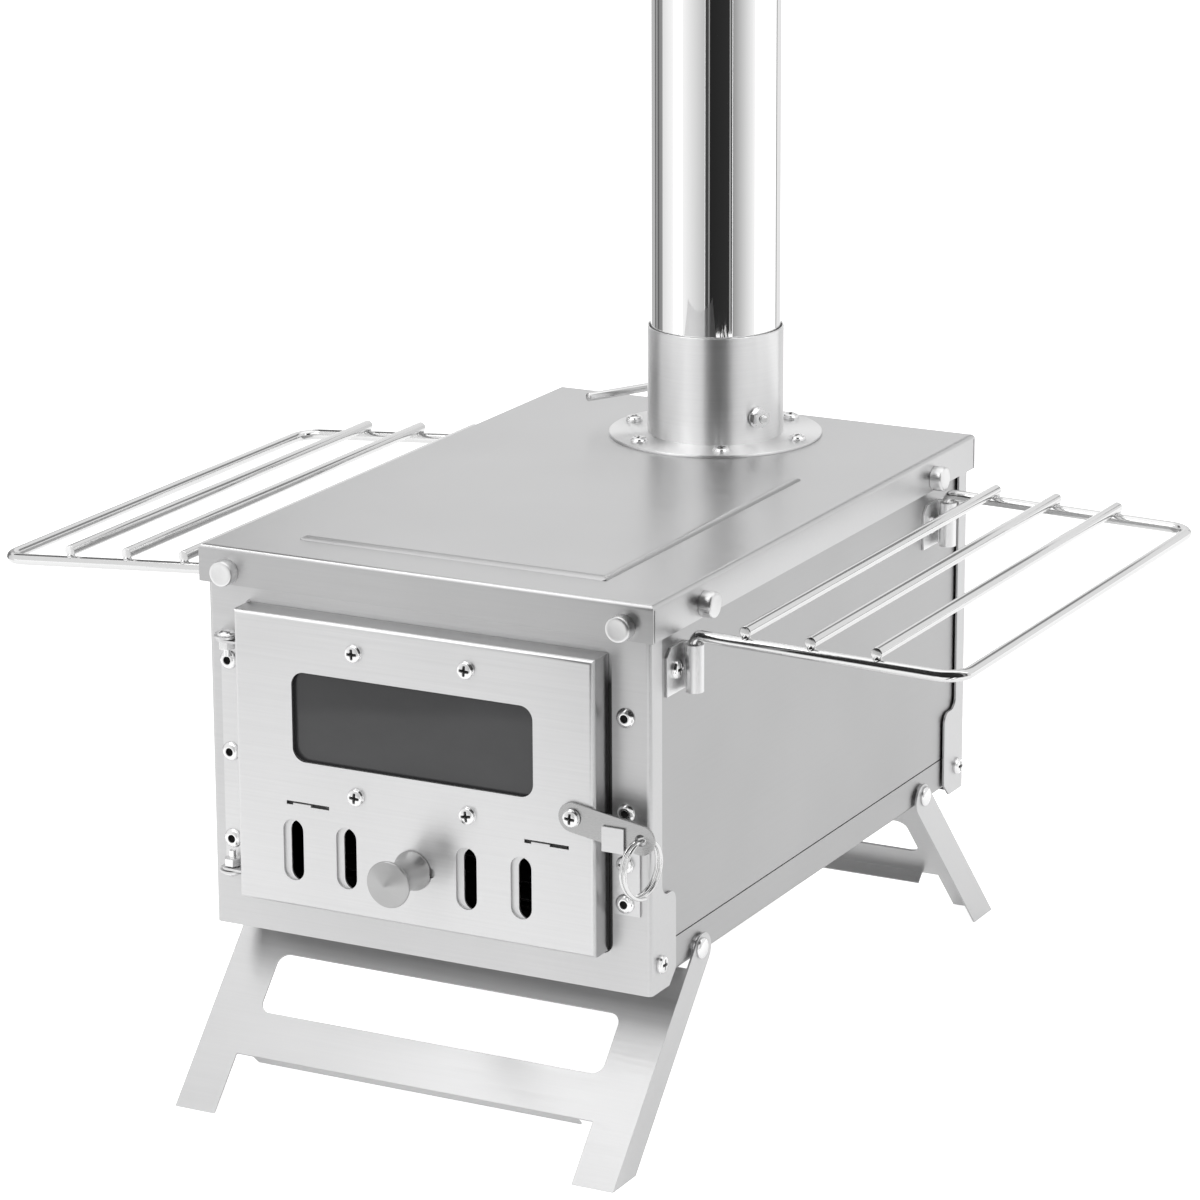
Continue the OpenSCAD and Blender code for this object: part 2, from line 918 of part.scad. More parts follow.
// Rack bracket on the right side: plate, web and rolled socket
module rack_bracket(side, end) {
    y0 = rack_mid_y + end * rack_span / 2;
    color("gainsboro")
        difference() {
            scale_side(side)
                translate([0, y0, socket_top - socket_h]) {
                    translate([side_out, -bracket_l, 0])
                        cube([sheet, bracket_l + socket_r, socket_h]);
                    translate([side_out, socket_r - web_t, 0])
                        cube([socket_x - side_out, web_t, socket_h]);
                    translate([socket_x, 0, 0])
                        cylinder(r = socket_r, h = socket_h);
                }
            translate([side * socket_x, y0, socket_top - socket_h - over])
                cylinder(r = wire_r + run_gap, h = socket_h + 2 * over);
            translate([0, y0 - bracket_l, socket_top])
                rotate([45, 0, 0])
                    cube([4 * lid_w, bracket_cut, bracket_cut], center = true);
            at_bracket_screws() shank_hole(grip);
        }
}

module rack_bracket_front_left() { rack_bracket(-1, -1); }
module rack_bracket_front_right() { rack_bracket(1, -1); }
module rack_bracket_rear_left() { rack_bracket(-1, 1); }
module rack_bracket_rear_right() { rack_bracket(1, 1); }
module bracket_screws() { color("silver") at_bracket_screws() pan_screw(grip - sheet); }

// Rack wire: two legs in the sockets, an elbow on each, and a U of rails that hangs by the droop angle
module rack_wire(side, droop) {
    rail = (rack_reach - socket_x) / cos(droop) - corner_r;
    span = rack_span / 2;
    elbow_z = rack_z - bend_r;
    color("silver")
        scale_side(side)
            translate([0, rack_mid_y, 0]) {
                for (end = [-1, 1])
                    translate([socket_x, end * span, socket_top - socket_h])
                        cylinder(r = wire_r - leg_slack, h = elbow_z - socket_top + socket_h + leg_lap);
                translate([socket_x + bend_r, 0, elbow_z])
                    rotate([0, droop, 0]) {
                        for (end = [-1, 1]) {
                            translate([0, end * span, 0])
                                rotate([90, 0, 0])
                                    rotate(90)
                                        rotate_extrude(angle = 90 + droop)
                                            translate([bend_r, 0])
                                                circle(wire_r);
                            translate([0, end * span, bend_r])
                                rotate([0, 90, 0])
                                    cylinder(r = wire_r, h = rail - bend_r);
                            translate([rail - bend_r, end * (span - corner_r), bend_r])
                                rotate(end > 0 ? 0 : -90)
                                    rotate_extrude(angle = 90)
                                        translate([corner_r, 0])
                                            circle(wire_r);
                        }
                        translate([rail - bend_r + corner_r, 0, bend_r])
                            rotate([90, 0, 0])
                                cylinder(r = wire_r, h = 2 * (span - corner_r), center = true);
                    }
            }
}

module rack_bars(side, droop) {
    elbow_z = rack_z - bend_r;
    color("silver")
        scale_side(side)
            translate([socket_x + bend_r, rack_mid_y, elbow_z])
                rotate([0, droop, 0])
                    for (x = bar_xs)
                        translate([(x - socket_x - bend_r) / cos(droop), 0, bend_r + bar_lift])
                            rotate([90, 0, 0])
                                cylinder(r = wire_r, h = rack_span + 2 * bar_over, center = true);
}

module rack_wire_left() { rack_wire(-1, left_droop); }
module rack_wire_right() { rack_wire(1, right_droop); }
module rack_bars_left() { rack_bars(-1, left_droop); }
module rack_bars_right() { rack_bars(1, right_droop); }

// Leg frame at the front, in its own frame: U down the leg, V behind the pivot
module leg_outline_2d() {
    foot_x = leg_half - leg_foot_w;
    difference() {
        translate([-leg_half, leg_top_u])
            square([2 * leg_half, leg_len + leg_flange - leg_top_u]);
        translate([0, (leg_window_top + leg_window_bottom) / 2])
            round_rect(2 * leg_window_half, leg_window_bottom - leg_window_top, leg_r);
        translate([-foot_x, leg_bar_bottom])
            square([2 * foot_x, leg_len + leg_flange]);
    }
}

module leg_frame() {
    tab_mid = leg_v + leg_flange / 2;
    difference() {
        translate([0, -pivot_y, pivot_z])
            rotate([-splay, 0, 0])
                mirror([0, 0, 1]) {
                    translate([0, leg_v + sheet, 0])
                        rotate([90, 0, 0])
                            linear_extrude(sheet)
                                leg_outline_2d();
                    translate([-leg_lip_half, leg_v, leg_bar_bottom - sheet])
                        cube([2 * leg_lip_half, leg_lip_d, sheet]);
                    for (side = [-1, 1])
                        scale_side(side)
                            translate([leg_half - sheet, 0, 0])
                                difference() {
                                    union() {
                                        translate([0, leg_v, 0])
                                            cube([sheet, leg_flange, leg_len + leg_flange]);
                                        translate([0, tab_mid, 0])
                                            rotate([0, 90, 0])
                                                cylinder(r = leg_flange / 2, h = sheet);
                                    }
                                    translate([-over, 0, 0])
                                        rotate([0, 90, 0])
                                            cylinder(r = pivot_shank_r + run_gap, h = sheet + 2 * over);
                                }
                }
        translate([0, 0, -2 * leg_len])
            cube([4 * leg_half, 8 * leg_len, 4 * leg_len], center = true);
    }
}

module front_leg_frame() { color("gainsboro") leg_frame(); }
module rear_leg_frame() { color("gainsboro") rotate(180) leg_frame(); }

module leg_pivots() {
    color("silver")
        at_leg_pivots(leg_half + skin_gap) {
            dome(pivot_head_r, pivot_head_h, screw_dome_r);
            translate([0, 0, side_out - leg_half - 2 * sheet])
                cylinder(r = pivot_shank_r, h = leg_half - side_out + 2 * sheet);
        }
}

module leg_washers() {
    gap = leg_half - sheet - side_out;
    color("silver")
        at_leg_pivots(side_out)
            difference() {
                cylinder(r = washer_r, h = gap - skin_gap);
                translate([0, 0, -over])
                    cylinder(r = pivot_shank_r + shank_gap, h = gap + 2 * over);
            }
}

// Door
module door_pan() {
    slot_xs = [-slot_inner - slot_pitch, -slot_inner, slot_inner, slot_inner + slot_pitch];
    color("gainsboro")
        difference() {
            union() {
                translate([0, door_front, door_mid_z])
                    rotate([90, 0, 0])
                        tray(door_w, door_h, door_depth, fold_r, sheet);
                for (z = [hinge_bottom + sheet + seat_gap, hinge_top - 2 * sheet - seat_gap]) {
                    translate([pin_x, pin_y - lug_r, z])
                        cube([-door_w / 2 + sheet / 2 - pin_x, 2 * lug_r, sheet]);
                    translate([pin_x, pin_y, z])
                        cylinder(r = lug_r, h = sheet);
                }
            }
            translate([pin_x, pin_y, hinge_bottom])
                cylinder(r = pin_r + run_gap, h = hinge_top - hinge_bottom);
            door_cut(0, window_z)
                round_rect(window_w, window_h, window_r);
            for (x = slot_xs)
                door_cut(slot_mid_x + x, slot_mid_z)
                    slot_2d(slot_w, slot_h);
            for (x = slit_xs)
                door_cut(x, slit_z)
                    square([slit_l, slit_h], center = true);
            door_cut(slot_mid_x + air_close / 2 + air_rest / 2, knob_z)
                rotate(90)
                    slot_2d(2 * knob_stud_r + 2 * shank_gap, air_close + air_rest + 2 * knob_stud_r + 2 * seat_gap);
            at_window_screws(door_front) shank_hole(grip);
            translate([latch_x, door_front, latch_z])
                face_front() shank_hole(grip);
        }
}

module door_cut(x, z) {
    translate([x, door_inner, z])
        rotate([90, 0, 0])
            linear_extrude(4 * over, center = true)
                children();
}

module window_gasket() {
    color("darkslategray")
        translate([0, door_inner + gasket_t - skin_gap, window_z])
            rotate([90, 0, 0])
                linear_extrude(gasket_t - 2 * skin_gap)
                    difference() {
                        round_rect(window_w + 2 * glass_lap, window_h + 2 * glass_lap, window_r);
                        round_rect(window_w + sheet, window_h + sheet, window_r);
                    }
}

module window_glass() {
    color("dimgray")
        translate([0, glass_back, window_z])
            rotate([90, 0, 0])
                linear_extrude(glass_t)
                    round_rect(window_w + 2 * glass_lap, window_h + 2 * glass_lap, window_r);
}

module glass_retainer() {
    color("silver")
        difference() {
            translate([0, glass_back + skin_gap + sheet, window_z])
                rotate([90, 0, 0])
                    linear_extrude(sheet)
                        difference() {
                            round_rect(window_w + 2 * frame_lap_x, window_h + 2 * frame_lap_z, window_r);
                            round_rect(window_w, window_h, window_r);
                        }
            at_window_screws(glass_back) shank_hole(grip);
        }
}

module window_screws() {
    color("silver") at_window_screws(door_front) pan_screw(gasket_t + glass_t + 3 * sheet + grip / 2);
}

module window_nuts() {
    color("silver")
        at_window_screws(glass_back + sheet + 2 * skin_gap)
            mirror([0, 0, 1])
                difference() {
                    cylinder(r = nut_r, h = nut_h - sheet, $fn = 6);
                    translate([0, 0, -over])
                        cylinder(r = shank_r + skin_gap, h = nut_h + 2 * over);
                }
}

// Air slider: a plate behind the slots whose two ears pass through the slits and hang on their lower edges
module slider_plate() {
    slot_xs = [-slot_inner - slot_pitch, -slot_inner, slot_inner, slot_inner + slot_pitch];
    mid = slot_mid_x + air_rest;
    ear_back = sheet + ear_proud + run_gap + sheet;
    color("silver") {
        difference() {
            translate([mid - slider_half, slider_y, slider_low])
                cube([2 * slider_half, sheet, slider_top - slider_low]);
            for (x = slot_xs)
                translate([mid + x, slider_y, slot_mid_z])
                    rotate([90, 0, 0])
                        linear_extrude(4 * over, center = true)
                            slot_2d(slot_w, slot_h);
            translate([mid, slider_y, knob_z])
                rotate([90, 0, 0])
                    cylinder(r = knob_stud_r + skin_gap, h = 4 * over, center = true);
        }
        for (x = slit_xs)
            translate([x - ear_shift - ear_w / 2, slider_y + sheet - ear_back, slider_top - sheet])
                cube([ear_w, ear_back, sheet]);
    }
}

// Turned knob: flared base, waist and a head with a shallow cone
module air_knob() {
    rim_y = knob_len - knob_cone;
    color("silver")
        translate([slot_mid_x + air_rest, door_front - seat_gap, knob_z])
            rotate([90, 0, 0])
                rotate_extrude()
                    polygon([[0, 0], [knob_base_r, 0], [knob_base_r, knob_lip],
                        [knob_neck_r, knob_len / 4], [knob_neck_r, knob_len / 2],
                        [knob_base_r, rim_y - 2 * knob_lip], [knob_r, rim_y - knob_lip],
                        [knob_r, rim_y], [0, knob_len]]);
    color("silver")
        translate([slot_mid_x + air_rest, slider_y + sheet + skin_gap, knob_z])
            rotate([90, 0, 0])
                cylinder(r = knob_stud_r, h = slider_y + sheet - door_front + knob_lip);
}

module knob_screw() {
    color("silver")
        translate([slot_mid_x + air_rest, slider_y + sheet + 2 * skin_gap, knob_z])
            rotate([-90, 0, 0])
                dome(rivet_r, rivet_h, screw_dome_r);
}

// Latch strap, hanging by its tilt with the far end in the hook
module latch_strap() {
    color("gray")
        translate([latch_x, latch_y + latch_t, latch_z])
            rotate([90, latch_tilt, 0])
                linear_extrude(latch_t)
                    difference() {
                        union() {
                            circle(latch_r);
                            translate([latch_len, 0])
                                circle(latch_r);
                            translate([0, -latch_r])
                                square([latch_len, 2 * latch_r]);
                        }
                        circle(shank_r + run_gap);
                        translate([latch_len, 0])
                            circle(ring_hole_r);
                    }
}

module latch_pivot() {
    color("silver")
        translate([latch_x, latch_y - seat_gap, latch_z])
            face_front() pan_screw(grip + latch_t);
}

// Split ring: one wire wound twice, hung in the strap's end hole
function ring_at(a) = [-ring_r * sin(a), ring_pitch * (a / 360 - ring_turns / 2), -ring_r * cos(a)];

module split_ring() {
    n = ring_turns * ring_steps;
    total = 360 * ring_turns - 360 / ring_steps;
    wire = [for (i = [0 : n - 1])
        let (a = total * i / (n - 1), c = ring_at(a))
        for (k = [0 : ring_sides - 1])
            let (b = 360 * k / ring_sides, r = ring_r + ring_wire_r * cos(b))
            [-r * sin(a), c[1] + ring_wire_r * sin(b), -r * cos(a)]];
    sides = [for (i = [0 : n - 2]) for (k = [0 : ring_sides - 1])
        let (k2 = (k + 1) % ring_sides, p = i * ring_sides, q = p + ring_sides)
        each [[p + k, q + k, q + k2], [p + k, q + k2, p + k2]]];
    last = (n - 1) * ring_sides;
    caps = [[for (k = [0 : ring_sides - 1]) k], [for (k = [ring_sides - 1 : -1 : 0]) last + k]];
    hole = [latch_x + latch_len * cos(latch_tilt), latch_y + latch_t / 2, latch_z - latch_len * sin(latch_tilt)];
    color("silver")
        translate([hole[0], hole[1], hole[2] - ring_r])
            rotate(ring_yaw)
                polyhedron(wire, concat(sides, caps));
}

bottom_pan();
side_panel(-1);  // side_panel_left
side_panel(1);  // side_panel_right
front_panel();
rear_panel();
door_stop_frame();
top_plate();
lid_studs();
panel_screws();
fire_grate();
flue_flange();
flue_collar();
flange_screws();
hinge_plate();
hinge_rivets();
hinge_pin_top();
hinge_pin_bottom();
keeper();
keeper_rivets();
keeper_screw();
rack_bracket_front_left();
rack_bracket_front_right();
rack_bracket_rear_left();
rack_bracket_rear_right();
bracket_screws();
leg_pivots();
leg_washers();
front_leg_frame();
rear_leg_frame();
rack_wire_left();
rack_wire_right();
rack_bars_left();
rack_bars_right();
damper_rod();
damper_plate();
damper_nut();
damper_plate_screws();
chimney_section();
door_pan();
window_gasket();
window_glass();
glass_retainer();
window_screws();
window_nuts();
slider_plate();
air_knob();
knob_screw();
latch_strap();
latch_pivot();
split_ring();
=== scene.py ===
import math

import bpy
import numpy as np
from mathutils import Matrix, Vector


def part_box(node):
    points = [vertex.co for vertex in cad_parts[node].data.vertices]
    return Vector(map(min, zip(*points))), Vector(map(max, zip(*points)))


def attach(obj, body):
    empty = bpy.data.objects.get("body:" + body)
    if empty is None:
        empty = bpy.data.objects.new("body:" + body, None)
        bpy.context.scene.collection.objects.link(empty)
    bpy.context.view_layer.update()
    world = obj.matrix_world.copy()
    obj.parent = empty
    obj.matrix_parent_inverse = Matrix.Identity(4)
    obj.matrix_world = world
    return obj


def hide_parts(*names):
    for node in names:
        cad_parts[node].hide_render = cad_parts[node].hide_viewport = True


bl_info = {
    "name": "Tent wood stove",
    "version": (1, 0, 0),
    "blender": (4, 5, 0),
    "location": "View3D > Sidebar > Stove",
    "description": "Builds the looks of a folding tent wood stove over its packed solids",
    "category": "Object",
}

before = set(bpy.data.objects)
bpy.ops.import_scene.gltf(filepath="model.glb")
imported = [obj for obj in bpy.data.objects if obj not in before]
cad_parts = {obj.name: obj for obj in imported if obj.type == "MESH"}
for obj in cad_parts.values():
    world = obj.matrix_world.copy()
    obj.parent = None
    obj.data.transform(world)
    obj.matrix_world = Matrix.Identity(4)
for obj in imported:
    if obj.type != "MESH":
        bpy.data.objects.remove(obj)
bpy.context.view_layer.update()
MM = 0.001


def box_mm(name):
    """Low and high corner of a solid's box, in millimetres."""
    low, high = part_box(name)
    return np.array(low) / MM, np.array(high) / MM


def middle(name):
    """Middle of a solid's box, in millimetres."""
    return sum(box_mm(name)) / 2


# Places taken from the solids, in millimetres
LID_TOP = box_mm("flue_flange")[0][2]
LID_FRONT = box_mm("top_plate")[0][1]
LID_SIDE, LID_BACK = box_mm("top_plate")[1][:2]
PANEL_FRONT = box_mm("front_panel")[0][1]
REAR_SIDE = box_mm("rear_panel")[1][0]
SIDE_FACE = box_mm("side_panel_right")[1][0]
DOOR_FRONT = box_mm("door_pan")[0][1]
FLUE_Y = middle("flue_collar")[1]

# The flue flange's thickness in millimetres, and the ways that fasteners point
FLANGE_SHEET = 1.2
FORWARD, BACKWARD, UPWARD = (0, -1, 0), (0, 1, 0), (0, 0, 1)

# The door's slits and the edges of the painted shade on the slider and on the door's stop frame, in
# millimetres
SLIT_Z = LID_TOP - 104
SLIT_SHADE = (2.0, 5.0)
LIP_SHADE = (1.2, 0.8)
OPENING_SHADE = (36.0, 24.0)

# How the solids' edges are softened, in metres and degrees
WELD_REACH = 0.000002
FLAT_ANGLE = 0.5
ROUNDED_ANGLE = 40
CRISP_ANGLE = 32


# What a user would change
def colour_setting(name, description, *value):
    return bpy.props.FloatVectorProperty(
        name=name, description=description, subtype="COLOR", size=3, default=value, min=0.0, max=1.0)


def length_setting(name, description, default, low, high):
    return bpy.props.FloatProperty(
        name=name, description=description, default=default, min=low, max=high, unit="LENGTH", precision=5)


class StoveSizes(bpy.types.PropertyGroup):
    edge_round: length_setting("Edge round", "Radius that softens every sheet edge", 0.00022, 0.00002, 0.001)
    wire_radius: length_setting("Wire radius", "Radius of the rack wire and bars", 0.0025, 0.001, 0.004)
    ring_wire: length_setting("Ring wire", "Radius of the split ring's wire", 0.0008, 0.0004, 0.0015)
    sheet_wave: length_setting("Sheet wave", "How far the thin sheet bulges", 0.0005, 0.0, 0.003)


class StoveFinish(bpy.types.PropertyGroup):
    steel: colour_setting("Steel", "Colour of the brushed sheet", 0.69, 0.69, 0.693)
    bright_steel: colour_setting("Bright steel", "Colour of screws, brackets and collar", 0.85, 0.85, 0.852)
    polished_steel: colour_setting("Polished steel", "Colour of the chimney", 0.93, 0.93, 0.93)
    stud_steel: colour_setting("Stud steel", "Colour of the lid's studs", 0.80, 0.80, 0.80)
    wire_steel: colour_setting("Wire steel", "Colour of the rack wire and the ring", 0.74, 0.74, 0.74)
    knob_steel: colour_setting("Knob steel", "Colour of the turned knob", 0.46, 0.46, 0.46)
    latch_steel: colour_setting("Latch steel", "Colour of the latch strap", 0.42, 0.42, 0.42)
    burnt_steel: colour_setting("Burnt steel", "Colour of the grate and the damper plate", 0.30, 0.295, 0.29)
    gasket: colour_setting("Gasket", "Colour of the window's fibre tape", 0.05, 0.05, 0.05)
    # The window tint is painted shade: the dark of the unlit firebox seen through the glass.
    window_firebox_shade: colour_setting("Window tint", "Colour seen in the window", 0.044, 0.044, 0.046)
    sheet_roughness: bpy.props.FloatProperty(
        name="Sheet roughness", description="Roughness of the brushed sheet",
        default=0.36, min=0.05, max=1.0, subtype="FACTOR")


class StoveStage(bpy.types.PropertyGroup):
    camera_place: bpy.props.FloatVectorProperty(
        name="Camera place", description="Where the camera stands", unit="LENGTH",
        size=3, default=(0.961253, -1.829119, 0.772110))
    camera_turn: bpy.props.FloatVectorProperty(
        name="Camera turn", description="The camera's turns about X, Y and Z", subtype="EULER",
        size=3, default=(math.radians(74.2251), math.radians(0.2787), math.radians(27.6870)))
    lens: bpy.props.FloatProperty(
        name="Lens", description="Focal length on a 36 mm sensor",
        default=146.40, min=20.0, max=400.0, unit="CAMERA")
    key_power: bpy.props.FloatProperty(
        name="Key light", description="Power of the large front light",
        default=12.0, min=0.0, max=500.0, unit="POWER")
    sky: bpy.props.FloatProperty(
        name="Sky", description="Strength of the even studio light", default=0.7, min=0.0, max=5.0)
    backdrop: bpy.props.FloatProperty(
        name="Backdrop", description="Strength of the backdrop that the metal reflects",
        default=0.95, min=0.0, max=5.0)
    card_radius: bpy.props.FloatProperty(
        name="Card radius", description="How far the studio cards stand from the chimney's axis",
        default=0.75, min=0.4, max=3.0, unit="LENGTH")


# Meshes
def grid_faces(rows, columns, wrap_rows=False, wrap_columns=False):
    """Quads of a grid of points, taken round where it wraps."""
    i = np.arange(rows if wrap_rows else rows - 1)
    j = np.arange(columns if wrap_columns else columns - 1)
    i, j = np.meshgrid(i, j, indexing="ij")
    after_i, after_j = (i + 1) % rows, (j + 1) % columns
    quads = [i * columns + j, i * columns + after_j, after_i * columns + after_j, after_i * columns + j]
    return np.stack(quads, -1).reshape(-1, 4)


def fan(start, sides, pole, back=False):
    """Triangles from a ring of points, numbered from start, to the pole; back turns them the other way."""
    j = np.arange(sides)
    ring = [start + j, start + (j + 1) % sides]
    return np.stack([*(ring[::-1] if back else ring), np.full(sides, pole)], -1)


def skin(points, sides, first=None, last=None):
    """Faces over rings of points, one ring after another, with a fan to a pole point at either end."""
    faces = [grid_faces(len(points) // sides, sides, wrap_columns=True)]
    for pole, start, back in ((first, 0, True), (last, len(points) - sides, False)):
        if pole is not None:
            faces.append(fan(start, sides, len(points), back))
            points = np.concatenate([points, [pole]])
    return points, faces


def join(parts):
    """One list of points and faces from several, each part's face numbers moved past the points before it.
    A point's fourth number is how much painted shade darkens the recess it lies in, and is 0 where a part
    doesn't state it."""
    points, faces, start = [], [], 0
    for part_points, part_faces in parts:
        part_points = np.pad(part_points, ((0, 0), (0, 4 - part_points.shape[1])))
        points.append(part_points)
        faces.extend(f + start for f in part_faces)
        start += len(part_points)
    return np.concatenate(points), faces


def write_mesh(name, points, faces, sharp=30.0):
    """Mesh from points in metres and arrays of quads or triangles; edges past the sharp angle stay crisp."""
    mesh = bpy.data.meshes.new(name)
    mesh.from_pydata(points.tolist(), [], [face for group in faces for face in group.tolist()])
    mesh.validate(clean_customdata=False)
    mesh.shade_smooth()
    mesh.set_sharp_from_angle(angle=math.radians(sharp))
    return mesh


def with_settings(thing, **settings):
    """The thing, once each named setting has its value."""
    for key, value in settings.items():
        setattr(thing, key, value)
    return thing


def add_values(mesh, name, values):
    """One number for each point of the mesh, which a material can read by its name."""
    attribute = mesh.attributes.new(name, "FLOAT", "POINT")
    attribute.data.foreach_set("value", values.astype(np.float32))


def add_object(name, data):
    """New object in the scene."""
    thing = bpy.data.objects.new(name, data)
    bpy.context.scene.collection.objects.link(thing)
    return thing


def add_piece(name, parts, finish, body, solids, sharp=30.0):
    """New object at the origin that rides a body and stands for the named solids. Points come in millimetres.
    Its one slot holds the finish."""
    points, faces = join(parts)
    mesh = write_mesh(name, points[:, :3] * MM, faces, sharp)
    # A part's recess value is painted shade, which the material reads to darken recesses.
    if points[:, 3].any():
        add_values(mesh, "recess", points[:, 3])
    mesh.materials.append(bpy.data.materials[finish])
    piece = add_object(name, mesh)
    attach(piece, body)
    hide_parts(*solids)


def turned(profile, sides):
    """Points (r cos a, r sin a, z) for each (r, z) of a profile and each of the angles a."""
    a = np.linspace(0, 2 * np.pi, sides, endpoint=False)
    r, z = profile[:, :1], profile[:, 1:]
    return np.stack([r * np.cos(a), r * np.sin(a), z + 0 * a], -1).reshape(-1, 3)


def lathe(profile, sides=64):
    """Surface of revolution of a profile that runs from the foot up its outside. A point with r = 0 at an end
    closes the surface in a fan."""
    profile = np.asarray(profile, float)
    first, last = ([0, 0, z] if r == 0 else None for r, z in profile[[0, -1]])
    rings = profile[int(first is not None):len(profile) - int(last is not None)]
    return skin(turned(rings, sides), sides, first, last)


def ring_lathe(profile, sides=64):
    """Closed ring round Z: the profile is a loop of (r, z), counter-clockwise as seen with r to the right."""
    points = turned(np.asarray(profile, float), sides)
    return points, [grid_faces(len(profile), sides, wrap_rows=True, wrap_columns=True)]


def arc(centre, radius, start, end, steps=8):
    """Points of a circle's arc in a plane: centre + radius (cos a, sin a), from start to end degrees."""
    a = np.radians(np.linspace(start, end, steps + 1))
    return np.stack([centre[0] + radius * np.cos(a), centre[1] + radius * np.sin(a)], -1)


def tube(path, radius, sides=16, end_round=0.0, reference=(0.577, 0.601, 0.553)):
    """Round bar along a path: centre + radius (n cos a + b sin a), n and b square to the path. Its ends are
    domed where that is asked for. The reference direction, which fixes n, is never along the path."""
    path = np.asarray(path, float)
    along = np.gradient(path, axis=0)
    along /= np.linalg.norm(along, axis=1, keepdims=True)
    radii = np.full(len(path), float(radius))
    if end_round > 0:
        steps = 4
        s = np.linspace(0, np.pi / 2, steps + 1)[1:]
        inner = path.copy()
        inner[0] += along[0] * end_round
        inner[-1] -= along[-1] * end_round
        start = inner[0] - along[0] * (np.sin(s) * end_round)[::-1, None]
        stop = inner[-1] + along[-1] * (np.sin(s) * end_round)[:, None]
        ends = radius - end_round + end_round * np.cos(s)
        path = np.concatenate([start, inner, stop])
        radii = np.concatenate([ends[::-1], radii, ends])
        along = np.concatenate([np.repeat(along[:1], steps, 0), along, np.repeat(along[-1:], steps, 0)])
    n = np.cross(along, reference)
    n /= np.linalg.norm(n, axis=1, keepdims=True)
    b = np.cross(along, n)
    a = np.linspace(0, 2 * np.pi, sides, endpoint=False)
    ring = n[:, None] * np.cos(a)[:, None] + b[:, None] * np.sin(a)[:, None]
    points = (path[:, None] + radii[:, None, None] * ring).reshape(-1, 3)
    return skin(points, sides, path[0], path[-1])


def moved(part, turn, place=(0, 0, 0)):
    """A part after a turn by a matrix and a move."""
    points, faces = part
    return np.concatenate([points[:, :3] @ turn + place, points[:, 3:]], -1), faces


def placed(part, place, up):
    """A part with its Z axis turned to the direction up and its foot at the place."""
    up = np.asarray(up, float) / np.linalg.norm(up)
    side = np.cross([0.0, 0.0, 1.0], up)
    if np.linalg.norm(side) < 1e-6:
        side = np.array([1.0, 0.0, 0.0])
    side /= np.linalg.norm(side)
    return moved(part, np.stack([side, np.cross(up, side), up]), place)


def spun(part, degrees):
    """A part turned about its own Z axis."""
    c, s = math.cos(math.radians(degrees)), math.sin(math.radians(degrees))
    return moved(part, np.array([[c, s, 0], [-s, c, 0], [0, 0, 1.0]]))


def smooth_step(x):
    """0 below 0, 1 above 1 and 3x^2 - 2x^3 between."""
    x = np.clip(x, 0, 1)
    return x * x * (3 - 2 * x)


# Screws, rivets and studs, in millimetres, with the face that they sit on at z = 0
def cross_head(length=3.0, turn=0.0):
    """Pan head with a cross recess. Over polar rings the height is h (1 - 0.34 (r/R)^3.2), less 0.26 h at the
    rounded rim, less a recess that fades by smooth steps past the edge of two crossed slots, which taper
    outwards, and past their reach."""
    radius, height, shank, sides, rings = 3.9, 2.4, 2.0, 72, 25
    rim_share, dome_share, edge_share = 0.86, 0.34, 0.26
    slot_half, slot_taper, slot_reach, slot_depth, slot_rise = 0.62, 0.08, 2.3, 1.4, 0.25
    slot_edge, reach_fade, recess_shade, edge, chamfer = 0.10, 0.35, 1.6, 0.12, 0.4
    t = np.linspace(0, 1, rings + 1)[1:]
    past = (t - rim_share) / (1 - rim_share)
    t = np.where(past < 0, t, rim_share + (1 - rim_share) * np.sin(past * np.pi / 2))
    a = np.linspace(0, 2 * np.pi, sides, endpoint=False)
    share, a = np.meshgrid(t, a, indexing="ij")
    z = height * (1 - dome_share * share ** 3.2)
    z -= height * edge_share * smooth_step((share - rim_share) / (1 - rim_share))
    x, y = share * radius * np.cos(a), share * radius * np.sin(a)
    cross = np.minimum(np.abs(x) + slot_taper * np.abs(y), np.abs(y) + slot_taper * np.abs(x)) - slot_half
    reach = np.maximum(np.abs(x), np.abs(y))
    inside = smooth_step((slot_edge - cross) / (2 * slot_edge))
    inside *= smooth_step((slot_reach - reach) / reach_fade)
    z -= slot_depth * inside * (1 - slot_rise * reach / height)
    # The fourth number paints shade into the cross recess, darker the further inside the slots a point lies,
    # and the middle point is fully shaded.
    top = np.stack([x, y, z, np.minimum(recess_shade * inside, 1)], -1).reshape(-1, 4)
    centre = np.array([[0, 0, height - slot_depth, 1.0]])
    faces = [grid_faces(rings, sides, wrap_columns=True)[:, ::-1], fan(0, sides, len(top))]
    foot = [[0, -length], [shank - chamfer, -length], [shank, chamfer - length], [shank, 0],
            [radius - edge, 0], [radius, edge], [radius, height * (1 - dome_share - edge_share)]]
    return spun(join([(np.concatenate([top, centre]), faces), lathe(foot, sides)]), turn)


def hollow_rivet():
    """Pull rivet: a low domed flange turned round Z with the hollow of its drawn mandrel in the middle."""
    length, bore, bore_floor = 3.0, 1.7, -0.5
    profile = [[0, -length], [1.6, -length], [2.0, -length + 0.4], [2.0, 0], [4.1, 0], [4.25, 0.12],
               [4.2, 0.4], [3.8, 0.95], [3.2, 1.4], [2.6, 1.7], [2.1, 1.79], [1.8, 1.72], [1.66, 1.45],
               [1.6, 0.2], [1.3, -0.1], [0.6, -0.25], [0, -0.28]]
    points, faces = lathe(profile, 40)
    # The points in the mandrel's bore are marked for painted shade, which turns the bore black.
    hollow = (np.hypot(points[:, 0], points[:, 1]) < bore) & (points[:, 2] > bore_floor)
    return np.concatenate([points, hollow[:, None]], -1), faces


